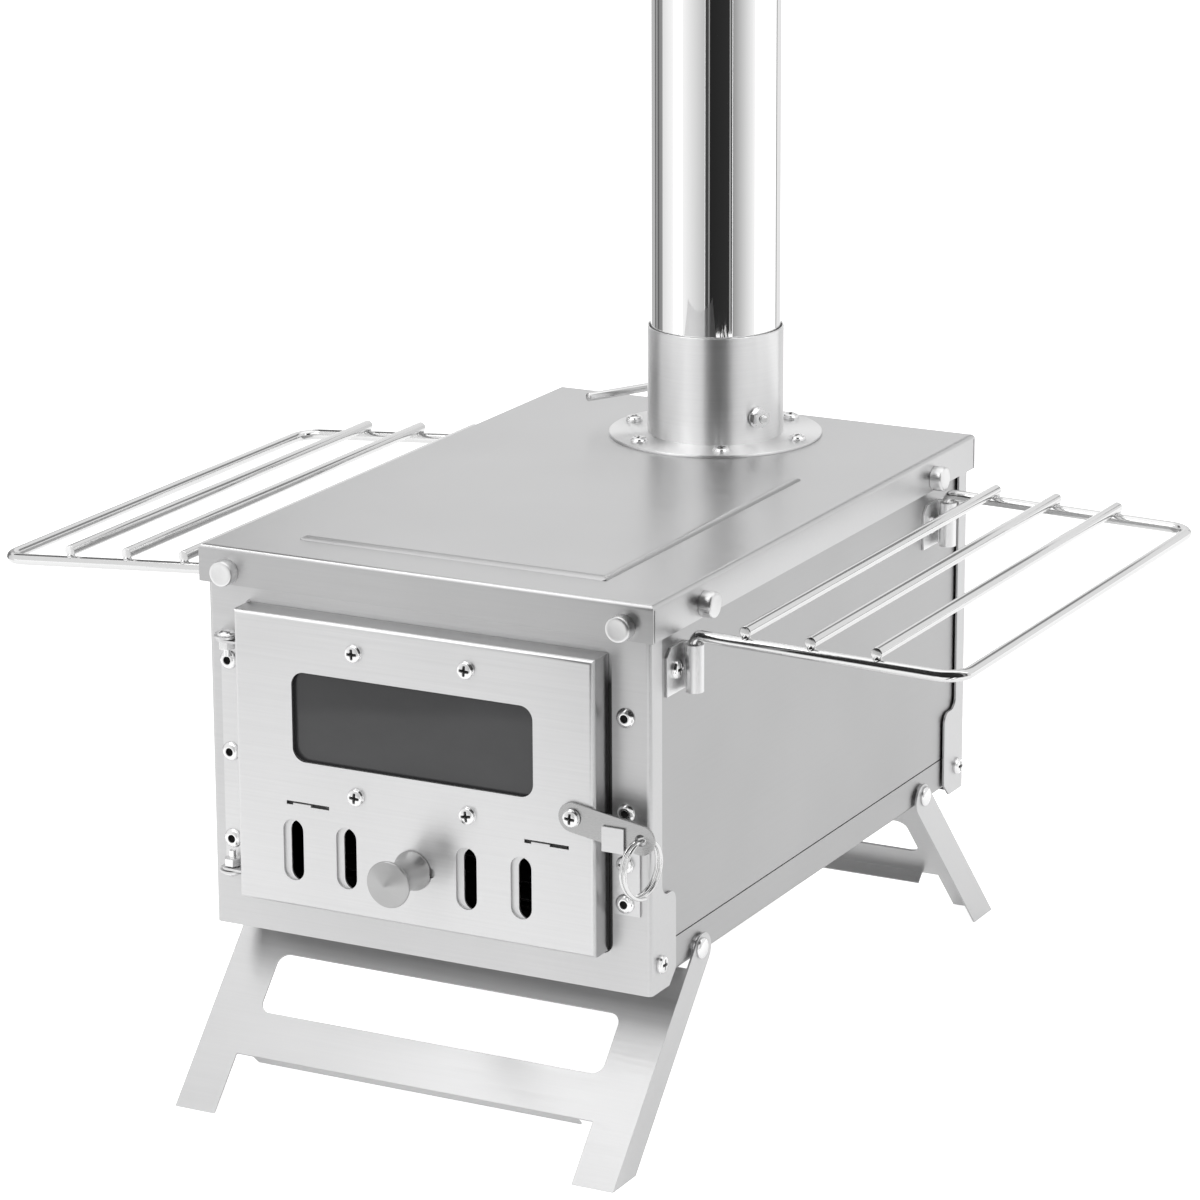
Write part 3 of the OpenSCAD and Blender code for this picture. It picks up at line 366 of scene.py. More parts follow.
def binding_head():
    """Barrel-headed stud: a straight-sided head with a rolled rim and a shallow dish, turned round Z."""
    length = 5.0
    profile = [[0, -length], [2.0, -length], [2.0, 0], [5.2, 0], [5.42, 0.08], [5.5, 0.3], [5.5, 4.6],
               [5.42, 5.05], [5.2, 5.38], [4.8, 5.57], [4.3, 5.6], [3.6, 5.54], [2.0, 5.46], [0, 5.44]]
    return lathe(profile, 56)


def dome_head():
    """Low domed head on a shank, turned round Z: a quarter wave, (R cos a, h/4 + 3h/4 sin a)."""
    radius, height, shank, length, edge, wall_share = 4.6, 2.0, 2.0, 3.0, 0.1, 0.25
    a = np.linspace(0, 1, 9)[:-1] * np.pi / 2
    dome = np.stack([radius * np.cos(a), height * (wall_share + (1 - wall_share) * np.sin(a))], -1)
    foot = [[0, -length], [shank, -length], [shank, 0], [radius - edge, 0], [radius, edge]]
    return lathe(np.concatenate([foot, dome, [[0, height]]]), 40)


def hex_nut(width, height, bore):
    """Nut: half its width over the corners, times cos 30 over the cosine of the angle to the nearest flat's
    middle, with the corners turned off at both faces."""
    sides, chamfer, turned_share = 72, 0.45, 0.93
    sixth = np.pi / 3
    a = np.linspace(0, 2 * np.pi, sides, endpoint=False)
    near = (a + sixth / 2) % sixth - sixth / 2
    flat = width / 2 * math.cos(sixth / 2) / np.cos(near)
    face, hole = np.minimum(flat, width / 2 * turned_share), np.full(sides, bore)
    rows = [(hole, 0), (face, 0), (flat, chamfer), (flat, height - chamfer), (face, height), (hole, height)]
    points = np.concatenate([np.stack([r * np.cos(a), r * np.sin(a), 0 * a + z], -1) for r, z in rows])
    return points, [grid_faces(len(rows), sides, wrap_rows=True, wrap_columns=True)]


# Materials
def new_material(name):
    """Empty material of this name; a plain one that came with the solids gives the name up."""
    if name in bpy.data.materials:
        bpy.data.materials[name].name = f"plain_{name}"
    material = bpy.data.materials.new(name)
    material.use_nodes = True
    nodes = material.node_tree.nodes
    nodes.clear()
    output = nodes.new("ShaderNodeOutputMaterial")
    shader = nodes.new("ShaderNodeBsdfPrincipled")
    material.node_tree.links.new(shader.outputs["BSDF"], output.inputs["Surface"])
    return material, shader


def set_inputs(material, node, inputs):
    """Gives a node's inputs their values, or links them where the value is another node's output."""
    for key, value in inputs.items():
        if isinstance(value, bpy.types.NodeSocket):
            material.node_tree.links.new(value, node.inputs[key])
        else:
            node.inputs[key].default_value = value


def add_node(material, kind, inputs=None, **settings):
    """A shader node with its settings and its input values or links."""
    node = with_settings(material.node_tree.nodes.new(kind), **settings)
    set_inputs(material, node, inputs or {})
    return node


def object_place(material):
    return add_node(material, "ShaderNodeTexCoord").outputs["Object"]


def scaled_coordinates(material, scale):
    return add_node(material, "ShaderNodeMapping",
                    {"Vector": object_place(material), "Scale": scale}).outputs["Vector"]


def noise(material, scale, detail=2.0, rough=0.5):
    """Noise from 0 to 1 with this many waves to a metre along each axis."""
    return add_node(material, "ShaderNodeTexNoise",
                    {"Vector": scaled_coordinates(material, scale), "Scale": 1.0, "Detail": detail,
                     "Roughness": rough}).outputs["Fac"]


def math_node(material, operation, a, b=0.0):
    return add_node(material, "ShaderNodeMath", {0: a, 1: b}, operation=operation).outputs["Value"]


def vector_node(material, operation, a, b=(0.0, 0.0, 0.0), result="Vector"):
    return add_node(material, "ShaderNodeVectorMath", {0: a, 1: b}, operation=operation).outputs[result]


def shaded(material, colour, share):
    """A colour times a share."""
    return add_node(material, "ShaderNodeVectorMath", {0: colour, "Scale": share},
                    operation="SCALE").outputs["Vector"]


def carried(material, value, given, wanted):
    """A value carried from the given range to the wanted one, and held at its ends."""
    return add_node(material, "ShaderNodeMapRange",
                    {"Value": value, "From Min": given[0], "From Max": given[1], "To Min": wanted[0],
                     "To Max": wanted[1]}).outputs["Result"]


def painted_facing_light(material, direction, tone):
    """Painted light by facing: 1 on surfaces that face away from the direction, and the tone
    on those that face it.
    """
    normal = add_node(material, "ShaderNodeNewGeometry").outputs["Normal"]
    return carried(material, vector_node(material, "DOT_PRODUCT", normal, direction, "Value"),
                   (0.6, 0.95), (1.0, tone))


def brushed(name, colour, roughness, grain, depth=0.10, mottle=0.04, spread=0.08, wave=0.0, stretch=0.0,
            along=(0.0, 0.0, 1.0), turned_at=None, facing_shade=None):
    """Brushed steel: fine noise stretched along the grain turns the roughness and the height, and a broad one
    varies the colour and bulges the sheet. A stretch above 0 draws highlights out along one direction, or
    outwards from the axis of a turned face. Faces that look one way can have a tone of their own, a painted
    shade on faces that get less light. The mesh's recess value turns the steel black, a painted shade in
    the recesses of screws and rivets."""
    material, shader = new_material(name)
    fine = noise(material, grain, 5.0, 0.62)
    broad = noise(material, (9.0, 9.0, 9.0))
    uneven = (1 - mottle, 1 + mottle / 2)
    recess = add_node(material, "ShaderNodeAttribute", attribute_name="recess").outputs["Fac"]
    shade = math_node(material, "MULTIPLY", carried(material, broad, (0.3, 0.7), uneven),
                      carried(material, fine, (0.25, 0.75), uneven))
    # Painted shade: the recess value darkens the colour to 0.04 and takes the metal away.
    shade = math_node(material, "MULTIPLY", shade, carried(material, recess, (0.0, 1.0), (1.0, 0.04)))
    if facing_shade is not None:
        shade = math_node(material, "MULTIPLY", shade, painted_facing_light(material, *facing_shade))
    bulge = add_node(material, "ShaderNodeBump", {"Strength": 1.0, "Distance": wave, "Height": broad})
    bump = add_node(material, "ShaderNodeBump", {"Strength": depth, "Distance": 0.0002, "Height": fine,
                                                 "Normal": bulge.outputs["Normal"]})
    set_inputs(material, shader, {
        "Base Color": shaded(material, colour, shade),
        "Roughness": carried(material, fine, (0.3, 0.7), (roughness - spread / 2, roughness + spread / 2)),
        "Normal": bump.outputs["Normal"],
        "Metallic": math_node(material, "SUBTRACT", 1.0, recess),
        "Specular IOR Level": 0.0,
    })
    if stretch > 0:
        way = add_node(material, "ShaderNodeCombineXYZ", dict(zip("XYZ", along))).outputs["Vector"]
        if turned_at is not None:
            outward = vector_node(material, "SUBTRACT", object_place(material), turned_at)
            way = vector_node(material, "MULTIPLY", outward, (1.0, 0.0, 1.0))
        way = add_node(material, "ShaderNodeVectorTransform", {"Vector": way}, vector_type="VECTOR",
                       convert_from="OBJECT", convert_to="WORLD")
        set_inputs(material, shader, {"Anisotropic": stretch, "Tangent": way.outputs["Vector"]})


def glazing(name, tint):
    """Ceramic glass over a dark firebox: a smooth dark face whose dark colour is painted shade, standing for
    the unlit firebox behind it, and whose tone drifts with a faint film of soot.
    """
    material, shader = new_material(name)
    film = carried(material, noise(material, (24.0, 24.0, 40.0), 4.0), (0.25, 0.75), (0.85, 1.15))
    set_inputs(material, shader, {"Base Color": shaded(material, tint, film), "Roughness": 0.06, "IOR": 1.52})


def woven(name, colour):
    """Fibre tape: a fine check stands for the weave, and faces that look up are six times paler, a painted
    highlight on the tape's top edge.
    """
    material, shader = new_material(name)
    check = add_node(material, "ShaderNodeTexChecker",
                     {"Vector": scaled_coordinates(material, (900.0, 900.0, 900.0)), "Scale": 1.0,
                      "Color1": (*colour, 1), "Color2": (*[c / 2 for c in colour], 1)})
    # Painted highlight: faces that look up are six times paler.
    painted_top_light = painted_facing_light(material, (0.0, 0.0, 1.0), 6.0)
    set_inputs(material, shader, {"Base Color": shaded(material, check.outputs["Color"], painted_top_light),
                                  "Roughness": 0.9})


def painted_shade(name, colour, ramps, shaded_share=0.09):
    """Steel darkened by painted shade: each ramp names an axis, the place where the shade is full and the
    place where it ends, with a grainy edge, and the barest ramp wins."""
    material, shader = new_material(name)
    place = add_node(material, "ShaderNodeSeparateXYZ", {"Vector": object_place(material)})
    grain = math_node(material, "MULTIPLY", noise(material, (300.0, 300.0, 300.0), 4.0), 0.0004)
    unshaded_share = shaded_share
    for axis, full, end in ramps:
        along = math_node(material, "ADD", place.outputs[axis], grain)
        ramp = carried(material, along, (full * MM, end * MM), (shaded_share, 1.0))
        unshaded_share = math_node(material, "MAXIMUM", ramp, unshaded_share)
    set_inputs(material, shader, {"Base Color": shaded(material, colour, unshaded_share), "Metallic": 1.0,
                                  "Roughness": 0.5})


def make_materials():
    finish = bpy.context.scene.stove_finish
    steel, bright = finish.steel, finish.bright_steel
    rough, wave = finish.sheet_roughness, bpy.context.scene.stove_sizes.sheet_wave
    # The side, lid, leg and body steels are one steel scaled by a share each, painted shade that sets how
    # bright each piece looks; the side panels are darkest.
    side, lid, leg, body = (tuple(share * c for c in steel) for share in (0.65, 0.86, 0.87, 0.88))
    along_x, along_y, along_z = (14.0, 900.0, 900.0), (900.0, 14.0, 900.0), (900.0, 900.0, 14.0)
    rings, even = (20.0, 20.0, 1100.0), (400.0, 400.0, 400.0)
    to_front, to_right = (0.0, -1.0, 0.0), (1.0, 0.0, 0.0)
    brushed("body_steel", body, rough, along_x, mottle=0.05, wave=wave, stretch=0.6)
    brushed("leg_steel", leg, rough, along_x, wave=wave, stretch=0.5)
    brushed("side_steel", side, rough, along_y, mottle=0.05, wave=wave, stretch=0.6)
    # The lid's front flange and the door's right return are painted darker by the way they face, by 0.86 and
    # 0.70: painted shade.
    brushed("lid_steel", lid, rough - 0.04, along_x, wave=wave, stretch=0.6, along=(0.0, 0.3, 1.0),
            facing_shade=(to_front, 0.86))
    brushed("door_steel", steel, rough - 0.04, along_x, mottle=0.05, wave=wave, stretch=0.65,
            facing_shade=(to_right, 0.70))
    brushed("fitting_steel", bright, 0.42, along_z, depth=0.05)
    brushed("grate_steel", finish.burnt_steel, 0.5, along_y)
    brushed("collar_steel", bright, 0.38, rings, depth=0.05, stretch=0.95)
    brushed("pipe_steel", finish.polished_steel, 0.03, along_z, depth=0.0, mottle=0.01, spread=0.01)
    brushed("fastener_steel", bright, 0.17, even, depth=0.04, mottle=0.03)
    brushed("stud_steel", finish.stud_steel, 0.36, even, depth=0.04, mottle=0.03)
    brushed("wire_steel", finish.wire_steel, 0.11, along_y, depth=0.03, mottle=0.03)
    brushed("knob_steel", finish.knob_steel, 0.34, even, depth=0.03, mottle=0.03, stretch=0.55,
            turned_at=tuple(middle("air_knob") * MM))
    brushed("latch_steel", finish.latch_steel, 0.26, along_x, depth=0.05)
    # Painted shade: the slider plate is dark above a line near the slits except at its front lip, and the
    # door's stop frame is dark below its top strip, so the slits and the door's gap look dark.
    painted_shade("slider_steel", steel, [("Z", *(SLIT_Z - drop for drop in SLIT_SHADE)),
                                   ("Y", *(DOOR_FRONT + depth for depth in LIP_SHADE))])
    painted_shade("painted_shade_steel", steel, [("Z", *(LID_TOP - drop for drop in OPENING_SHADE))])
    glazing("window_glass", finish.window_firebox_shade)
    woven("gasket_fibre", finish.gasket)


# Sheet pieces that keep their solid
SHEET_FINISH = {
    "side_steel": ("side_panel_left", "side_panel_right", "bottom_pan"),
    "lid_steel": ("top_plate",),
    "body_steel": ("front_panel", "rear_panel"),
    "leg_steel": ("front_leg_frame", "rear_leg_frame"),
    "door_steel": ("door_pan", "glass_retainer", "hinge_plate", "keeper"),
    "slider_steel": ("slider_plate",),
    "painted_shade_steel": ("door_stop_frame",),
    "fitting_steel": ("rack_bracket_front_left", "rack_bracket_front_right", "rack_bracket_rear_left",
                      "rack_bracket_rear_right"),
    "latch_steel": ("latch_strap",),
    "grate_steel": ("fire_grate", "damper_plate"),
    "window_glass": ("window_glass",),
    "gasket_fibre": ("window_gasket",),
    "fastener_steel": ("window_nuts", "leg_washers", "damper_plate_screws", "knob_screw",
                       "hinge_pin_top", "hinge_pin_bottom"),
}


def smooth_by_angle():
    """Node tree that shades faces smooth and keeps an edge crisp where it turns past the crisp angle."""
    tree = bpy.data.node_groups.new("smooth_by_angle", "GeometryNodeTree")
    tree.interface.new_socket("Geometry", in_out="INPUT", socket_type="NodeSocketGeometry")
    tree.interface.new_socket("Geometry", in_out="OUTPUT", socket_type="NodeSocketGeometry")
    nodes, links = tree.nodes, tree.links
    start, end = nodes.new("NodeGroupInput"), nodes.new("NodeGroupOutput")
    faces, edges = nodes.new("GeometryNodeSetShadeSmooth"), nodes.new("GeometryNodeSetShadeSmooth")
    edges.domain = "EDGE"
    edges.inputs["Shade Smooth"].default_value = False
    angle, over = nodes.new("GeometryNodeInputMeshEdgeAngle"), nodes.new("FunctionNodeCompare")
    over.operation = "GREATER_THAN"
    over.inputs["B"].default_value = math.radians(CRISP_ANGLE)
    links.new(angle.outputs["Unsigned Angle"], over.inputs["A"])
    links.new(start.outputs[0], faces.inputs["Geometry"])
    links.new(faces.outputs["Geometry"], edges.inputs["Geometry"])
    links.new(over.outputs["Result"], edges.inputs["Selection"])
    links.new(edges.outputs["Geometry"], end.inputs[0])
    return tree


def soften(piece, width, tree):
    """Welds a solid's loose triangles, joins the flat ones, rounds the edges a little unless the width is 0,
    and shades the curves smooth."""
    def modify(name, kind, **settings):
        with_settings(piece.modifiers.new(name, kind), **settings)

    modify("weld", "WELD", merge_threshold=WELD_REACH)
    modify("flat", "DECIMATE", decimate_type="DISSOLVE", angle_limit=math.radians(FLAT_ANGLE))
    if width > 0:
        modify("bevel", "BEVEL", width=width, segments=2, limit_method="ANGLE",
               angle_limit=math.radians(ROUNDED_ANGLE), use_clamp_overlap=True)
    modify("smooth", "NODES", node_group=tree)
    modify("normals", "WEIGHTED_NORMAL", keep_sharp=True, weight=100)


class STOVE_OT_sheet(bpy.types.Operator):
    """Gives the folded sheet pieces their brushed finish and soft edges"""
    bl_idname = "stove.sheet"
    bl_label = "Sheet pieces"

    def execute(self, context):
        tree = smooth_by_angle()
        for finish, names in SHEET_FINISH.items():
            soft = finish in ("window_glass", "gasket_fibre")
            width = 0.0 if soft else context.scene.stove_sizes.edge_round
            for name in names:
                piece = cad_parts[name]
                piece.data.materials.clear()
                piece.data.materials.append(bpy.data.materials[finish])
                soften(piece, width, tree)
        return {"FINISHED"}


def flue_ring(name, profile, sides, finish, body, solid, sharp=30.0):
    """A closed ring turned round the flue's axis."""
    points, faces = ring_lathe(profile, sides)
    add_piece(name, [(points + [0, FLUE_Y, 0], faces)], finish, body, [solid], sharp=sharp)


class STOVE_OT_flue(bpy.types.Operator):
    """Makes the flue flange, the collar and the polished chimney section"""
    bl_idname = "stove.flue"
    bl_label = "Flue and chimney"

    def execute(self, context):
        low, top = (corner[2] for corner in box_mm("flue_flange"))
        reach, neck_in, neck_out, sheet = box_mm("flue_flange")[1][0], 29.2, 30.1, FLANGE_SHEET
        high = low + sheet
        flange = [[neck_in, low], [reach - 0.2, low], [reach, low + 0.2], [reach, high - 0.3],
                  [reach - 0.25, high], [neck_out + 2.1, high], [neck_out + 0.9, high + 0.25],
                  [neck_out + 0.25, high + 0.9], [neck_out, high + 1.8], [neck_out, top - 0.2],
                  [neck_out - 0.2, top], [neck_in, top]]
        flue_ring("flue_flange_ring", flange, 128, "collar_steel", "stove_body", "flue_flange", sharp=45)

        outer, inner, top = box_mm("flue_collar")[1][0], 30.2, box_mm("flue_collar")[1][2]
        collar = [[inner, high], [outer, high], [outer, top - 0.25], [outer - 0.15, top], [inner + 0.1, top],
                  [inner, top - 0.15]]
        flue_ring("flue_collar_sleeve", collar, 128, "collar_steel", "stove_body", "flue_collar")

        low, top = (corner[2] for corner in box_mm("chimney_section"))
        bead, outer, inner, neck_out, neck_in = box_mm("chimney_section")[1][0], 29.5, 28.9, 28.7, 28.1
        neck = top - 35
        pipe = [[inner, low], [outer - 0.1, low], [outer, low + 0.1], [outer, neck - 1.6],
                [outer + 0.15, neck - 1.0], [bead - 0.05, neck - 0.5], [bead, neck], [bead - 0.1, neck + 0.5],
                [bead - 0.7, neck + 1.0], [neck_out, neck + 1.6], [neck_out, top - 0.15],
                [neck_out - 0.15, top], [neck_in + 0.1, top], [neck_in, top - 0.1], [neck_in, neck + 1.0],
                [inner, neck - 1.4]]
        flue_ring("chimney_pipe", pipe, 160, "pipe_steel", "chimney", "chimney_section", sharp=40)
        return {"FINISHED"}


class STOVE_OT_damper(bpy.types.Operator):
    """Makes the damper's bent rod and the nut that holds it"""
    bl_idname = "stove.damper"
    bl_label = "Damper"

    def execute(self, context):
        radius, bend, turn, rise = 2.0, 5.0, math.radians(-26.7), 13.2
        handle_x, handle_end, rod_end, nut_place, washer_place = -46.0, 38.6, 36.5, 32.3, 31.3
        u = np.array([math.cos(turn), math.sin(turn), 0])
        v = np.array([math.sin(turn), -math.cos(turn), 0])
        axle = np.array([0, FLUE_Y, LID_TOP + rise])
        elbow = arc((handle_x + bend, bend), bend, 270, 180, 10)
        rod, handle = [[rod_end, 0], [20, 0], [0, 0]], [[handle_x, 20], [handle_x, handle_end]]
        flat = np.concatenate([rod, elbow, handle])
        path = axle + flat[:, :1] * u + flat[:, 1:] * v
        add_piece("damper_bar", [tube(path, radius, 20, 0.5)], "wire_steel", "damper", ["damper_rod"])

        bore, outer, edge, sheet = 2.05, 4.8, 0.1, 1.0
        washer = [[bore, 0], [outer - edge, 0], [outer, edge], [outer, sheet - edge], [outer - edge, sheet],
                  [bore, sheet]]
        parts = [placed(hex_nut(8.4, 3.4, bore), axle + u * nut_place, u),
                 placed(ring_lathe(washer, 48), axle + u * washer_place, u)]
        add_piece("damper_hex_nut", parts, "fastener_steel", "damper", ["damper_nut"])
        return {"FINISHED"}


def weld_bead(place):
    """Small nugget of weld: an ellipsoid whose radius swells a little, 1 + 0.12 sin 3a, round its axis."""
    width, height, rings, sides, swell = 1.9, 1.5, 7, 20, 0.12
    up = np.linspace(-np.pi / 2, np.pi / 2, rings + 2)[1:-1]
    up, a = np.meshgrid(up, np.linspace(0, 2 * np.pi, sides, endpoint=False), indexing="ij")
    r = width * np.cos(up) * (1 + swell * np.sin(3 * a))
    points = np.stack([r * np.cos(a), r * np.sin(a), height * np.sin(up)], -1).reshape(-1, 3) + place
    return skin(points, sides, place - [0, 0, height], place + [0, 0, height])


# The racks: which side, how far they droop in degrees, and their bends' radii in millimetres
RACKS = ((1, 1.3, "right"), (-1, 4.5, "left"))
RACK_ELBOW, RACK_CORNER = 3.2, 10.0


class STOVE_OT_racks(bpy.types.Operator):
    """Makes the two lift-off racks: a bent wire with three bars welded across"""
    bl_idname = "stove.racks"
    bl_label = "Side racks"

    def execute(self, context):
        radius = context.scene.stove_sizes.wire_radius / MM
        overhang, gap = 1.0, 0.05
        for side, droop, name in RACKS:
            low, high = box_mm(f"rack_wire_{name}")
            socket, reach = sorted((abs(low[0]), abs(high[0])))
            socket, reach, span = socket + radius, reach - radius, (high[1] - low[1]) / 2 - radius
            centre, mirror = np.array([0, (low[1] + high[1]) / 2, 0]), np.array([side, 1, 1])
            tilt, across = math.radians(droop), np.array([0, 1, 0])
            out = np.array([math.cos(tilt), 0, -math.sin(tilt)])
            up = np.array([math.sin(tilt), 0, math.cos(tilt)])
            pivot = np.array([socket + RACK_ELBOW, 0, high[2] - radius - RACK_ELBOW])
            start, run = pivot + up * RACK_ELBOW, (reach - socket) / math.cos(tilt) - RACK_ELBOW

            foot = np.array([[socket, span, low[2]]])
            elbow = arc((0, 0), RACK_ELBOW, 180, 90 - droop)
            elbow = pivot + np.stack([elbow[:, 0], np.full(len(elbow), span), elbow[:, 1]], -1)
            corner = arc((run - RACK_CORNER, span - RACK_CORNER), RACK_CORNER, 90, 0, 10)
            corner = start + corner[:, :1] * out + corner[:, 1:] * across
            half = np.concatenate([foot, elbow, corner])
            path = np.concatenate([half, half[::-1] * [1, -1, 1]]) * mirror + centre
            add_piece(f"rack_{name}_wire", [tube(path, radius, 20, 0.6)], "wire_steel", f"rack_{name}",
                      [f"rack_wire_{name}"])

            low, high = box_mm(f"rack_bars_{name}")
            near, far = sorted((abs(low[0]), abs(high[0])))
            bars = []
            for x in np.linspace(near + radius, far - radius, 3):
                bar = pivot + out * ((x - pivot[0]) / math.cos(tilt)) + up * (RACK_ELBOW + 2 * radius + gap)
                ends = bar + np.outer((-span - overhang, 0, span + overhang), across)
                bars.append(tube(ends * mirror + centre, radius, 20, 0.35))
                for end in (-span, span):
                    bars.append(weld_bead((bar + [0, end, -radius]) * mirror + centre))
            add_piece(f"rack_{name}_bars", bars, "wire_steel", f"rack_{name}", [f"rack_bars_{name}"])
        return {"FINISHED"}


class STOVE_OT_ring(bpy.types.Operator):
    """Winds the split ring through the latch strap: a helix of two turns about a level axis"""
    bl_idname = "stove.ring"
    bl_label = "Split ring"

    def execute(self, context):
        wire, yaw, pitch, turns = context.scene.stove_sizes.ring_wire / MM, math.radians(78), 2.1, 2
        low, high = box_mm("split_ring")
        radius = (high[2] - low[2]) / 2 - wire
        across = np.array([math.cos(yaw), math.sin(yaw), 0])
        axis = np.array([-math.sin(yaw), math.cos(yaw), 0])
        a = np.linspace(0, 2 * np.pi * turns, 160)[:, None]
        path = (low + high) / 2 + pitch * (a / (2 * np.pi) - turns / 2) * axis
        path = path - radius * (np.sin(a) * across + np.cos(a) * [0, 0, 1])
        ring = tube(path, wire, 14, reference=axis)
        add_piece("key_ring", [ring], "wire_steel", "ring", ["split_ring"])
        return {"FINISHED"}


# The knob's outline: its radius and the distance from the foot of its neck, in millimetres
KNOB_PROFILE = [
    [0, -2.2], [2.1, -2.2], [2.1, 0], [8.2, 0], [8.55, 0.25], [8.6, 0.7], [8.35, 1.5], [7.7, 2.9], [7.1, 4.6],
    [6.8, 6.6], [6.75, 9.0], [6.85, 12.0], [7.3, 14.6], [8.1, 16.6], [9.1, 18.0], [9.75, 19.0], [10.0, 19.8],
    [9.98, 20.4], [9.7, 20.8], [7.8, 21.5], [5.8, 22.2], [3.8, 22.9], [1.8, 23.6], [0.7, 23.95], [0, 24.1],
]


class STOVE_OT_knob(bpy.types.Operator):
    """Turns the air knob"""
    bl_idname = "stove.knob"
    bl_label = "Air knob"

    def execute(self, context):
        x, _, z = middle("air_knob")
        gap = 0.3
        knob = placed(lathe(KNOB_PROFILE, 128), [x, DOOR_FRONT - gap, z], FORWARD)
        add_piece("air_knob_turned", [knob], "knob_steel", "air_slider", ["air_knob"], sharp=25)
        return {"FINISHED"}


# Places of fasteners that the solids' boxes don't give, in millimetres
FLANGE_CIRCLE, FLANGE_SCREWS = 41.5, 6
STUD_INSET, SIDE_STUD_INSET = 13.7, 45.4
TAB_FACE, TAB_INSET, TAB_SCREW_LENGTH = 104.5, 11.0, 3.7
WINDOW_SCREW_X, WINDOW_SCREW_Z, WINDOW_SCREW_LENGTH = 26.5, 31.1, 8.3
RIVET_DROPS = (49.4, 89.8, 128.4)
PLATE_SHEET, STRAP_FACE, LATCH_SCREW_LENGTH = 1.0, 1.8, 4.2
BRACKET_SCREW_Y, BRACKET_SCREW_Z, BRACKET_SCREW_LENGTH = 9.4, 10.0, 2.0
PIVOT_FACE, PIVOT_Y = 105.35, 114.0


def screws_at(places, up, length=3.0):
    """Cross-head screws on a face, each turned a little differently."""
    return [placed(cross_head(length, 6 * (i % 3) - 4), place, up) for i, place in enumerate(places)]


def add_fasteners(name, parts, solid, body="stove_body", finish="fastener_steel"):
    add_piece(name, parts, finish, body, [solid])


class STOVE_OT_fasteners(bpy.types.Operator):
    """Sets the studs, cross-head screws, rivets and leg pivots"""
    bl_idname = "stove.fasteners"
    bl_label = "Fasteners"

    def execute(self, context):
        stud_z, studs = middle("lid_studs")[2], []
        for x in (STUD_INSET - LID_SIDE, LID_SIDE - STUD_INSET):
            studs.append(placed(binding_head(), [x, LID_FRONT, stud_z], FORWARD))
            studs.append(placed(binding_head(), [x, LID_BACK, stud_z], BACKWARD))
        for side in (-1, 1):
            for y in (LID_FRONT + SIDE_STUD_INSET, LID_BACK - SIDE_STUD_INSET):
                studs.append(placed(binding_head(), [side * LID_SIDE, y, stud_z], [side, 0, 0]))
        add_fasteners("lid_stud_heads", studs, "lid_studs", finish="stud_steel")

        tab_z, tabs = middle("panel_screws")[2], []
        for side in (-1, 1):
            front, rear = [side * TAB_FACE, LID_FRONT + TAB_INSET], [side * REAR_SIDE, LID_BACK - TAB_INSET]
            tabs += screws_at([[*front, tab_z]], [side, 0, 0])
            tabs += screws_at([[*rear, tab_z]], [side, 0, 0], TAB_SCREW_LENGTH)
        add_fasteners("panel_tab_screws", tabs, "panel_screws")

        flange = []
        for i in range(FLANGE_SCREWS):
            a = 2 * math.pi * i / FLANGE_SCREWS
            x, y = FLANGE_CIRCLE * math.cos(a), FLUE_Y + FLANGE_CIRCLE * math.sin(a)
            flange.append(placed(cross_head(turn=25 * i), [x, y, LID_TOP + FLANGE_SHEET], UPWARD))
        add_fasteners("flange_cross_screws", flange, "flange_screws")

        window_z = middle("window_screws")[2]
        places = [[x, DOOR_FRONT, window_z + z] for x in (-WINDOW_SCREW_X, WINDOW_SCREW_X)
                  for z in (-WINDOW_SCREW_Z, WINDOW_SCREW_Z)]
        add_fasteners("window_cross_screws", screws_at(places, FORWARD, WINDOW_SCREW_LENGTH), "window_screws",
                      "door")

        for name, solid, face, length, body in (
                ("latch_cross_screw", "latch_pivot", DOOR_FRONT - STRAP_FACE, LATCH_SCREW_LENGTH, "door"),
                ("keeper_cross_screw", "keeper_screw", PANEL_FRONT - PLATE_SHEET, 3.0, "stove_body")):
            x, _, z = middle(solid)
            add_fasteners(name, screws_at([[x, face, z]], FORWARD, length), solid, body)

        bracket = []
        for side, side_name in ((-1, "left"), (1, "right")):
            for end_name in ("front", "rear"):
                corner = box_mm(f"rack_bracket_{end_name}_{side_name}")[1]
                place = [side * (SIDE_FACE + PLATE_SHEET), corner[1] - BRACKET_SCREW_Y,
                         corner[2] - BRACKET_SCREW_Z]
                bracket += screws_at([place], [side, 0, 0], BRACKET_SCREW_LENGTH)
        add_fasteners("bracket_cross_screws", bracket, "bracket_screws")

        for name, solid, under in (("hinge_pull_rivets", "hinge_rivets", (1, 1, 1)),
                                   ("keeper_pull_rivets", "keeper_rivets", (0, 0, 1))):
            x = middle(solid)[0]
            rivets = [placed(hollow_rivet(), [x, PANEL_FRONT - plates * PLATE_SHEET, LID_TOP - drop], FORWARD)
                      for plates, drop in zip(under, RIVET_DROPS)]
            add_fasteners(name, rivets, solid)

        pivot_z = middle("leg_pivots")[2]
        pivots = [placed(dome_head(), [side * PIVOT_FACE, end * PIVOT_Y, pivot_z], [side, 0, 0])
                  for side in (-1, 1) for end in (-1, 1)]
        add_fasteners("leg_pivot_heads", pivots, "leg_pivots")
        return {"FINISHED"}


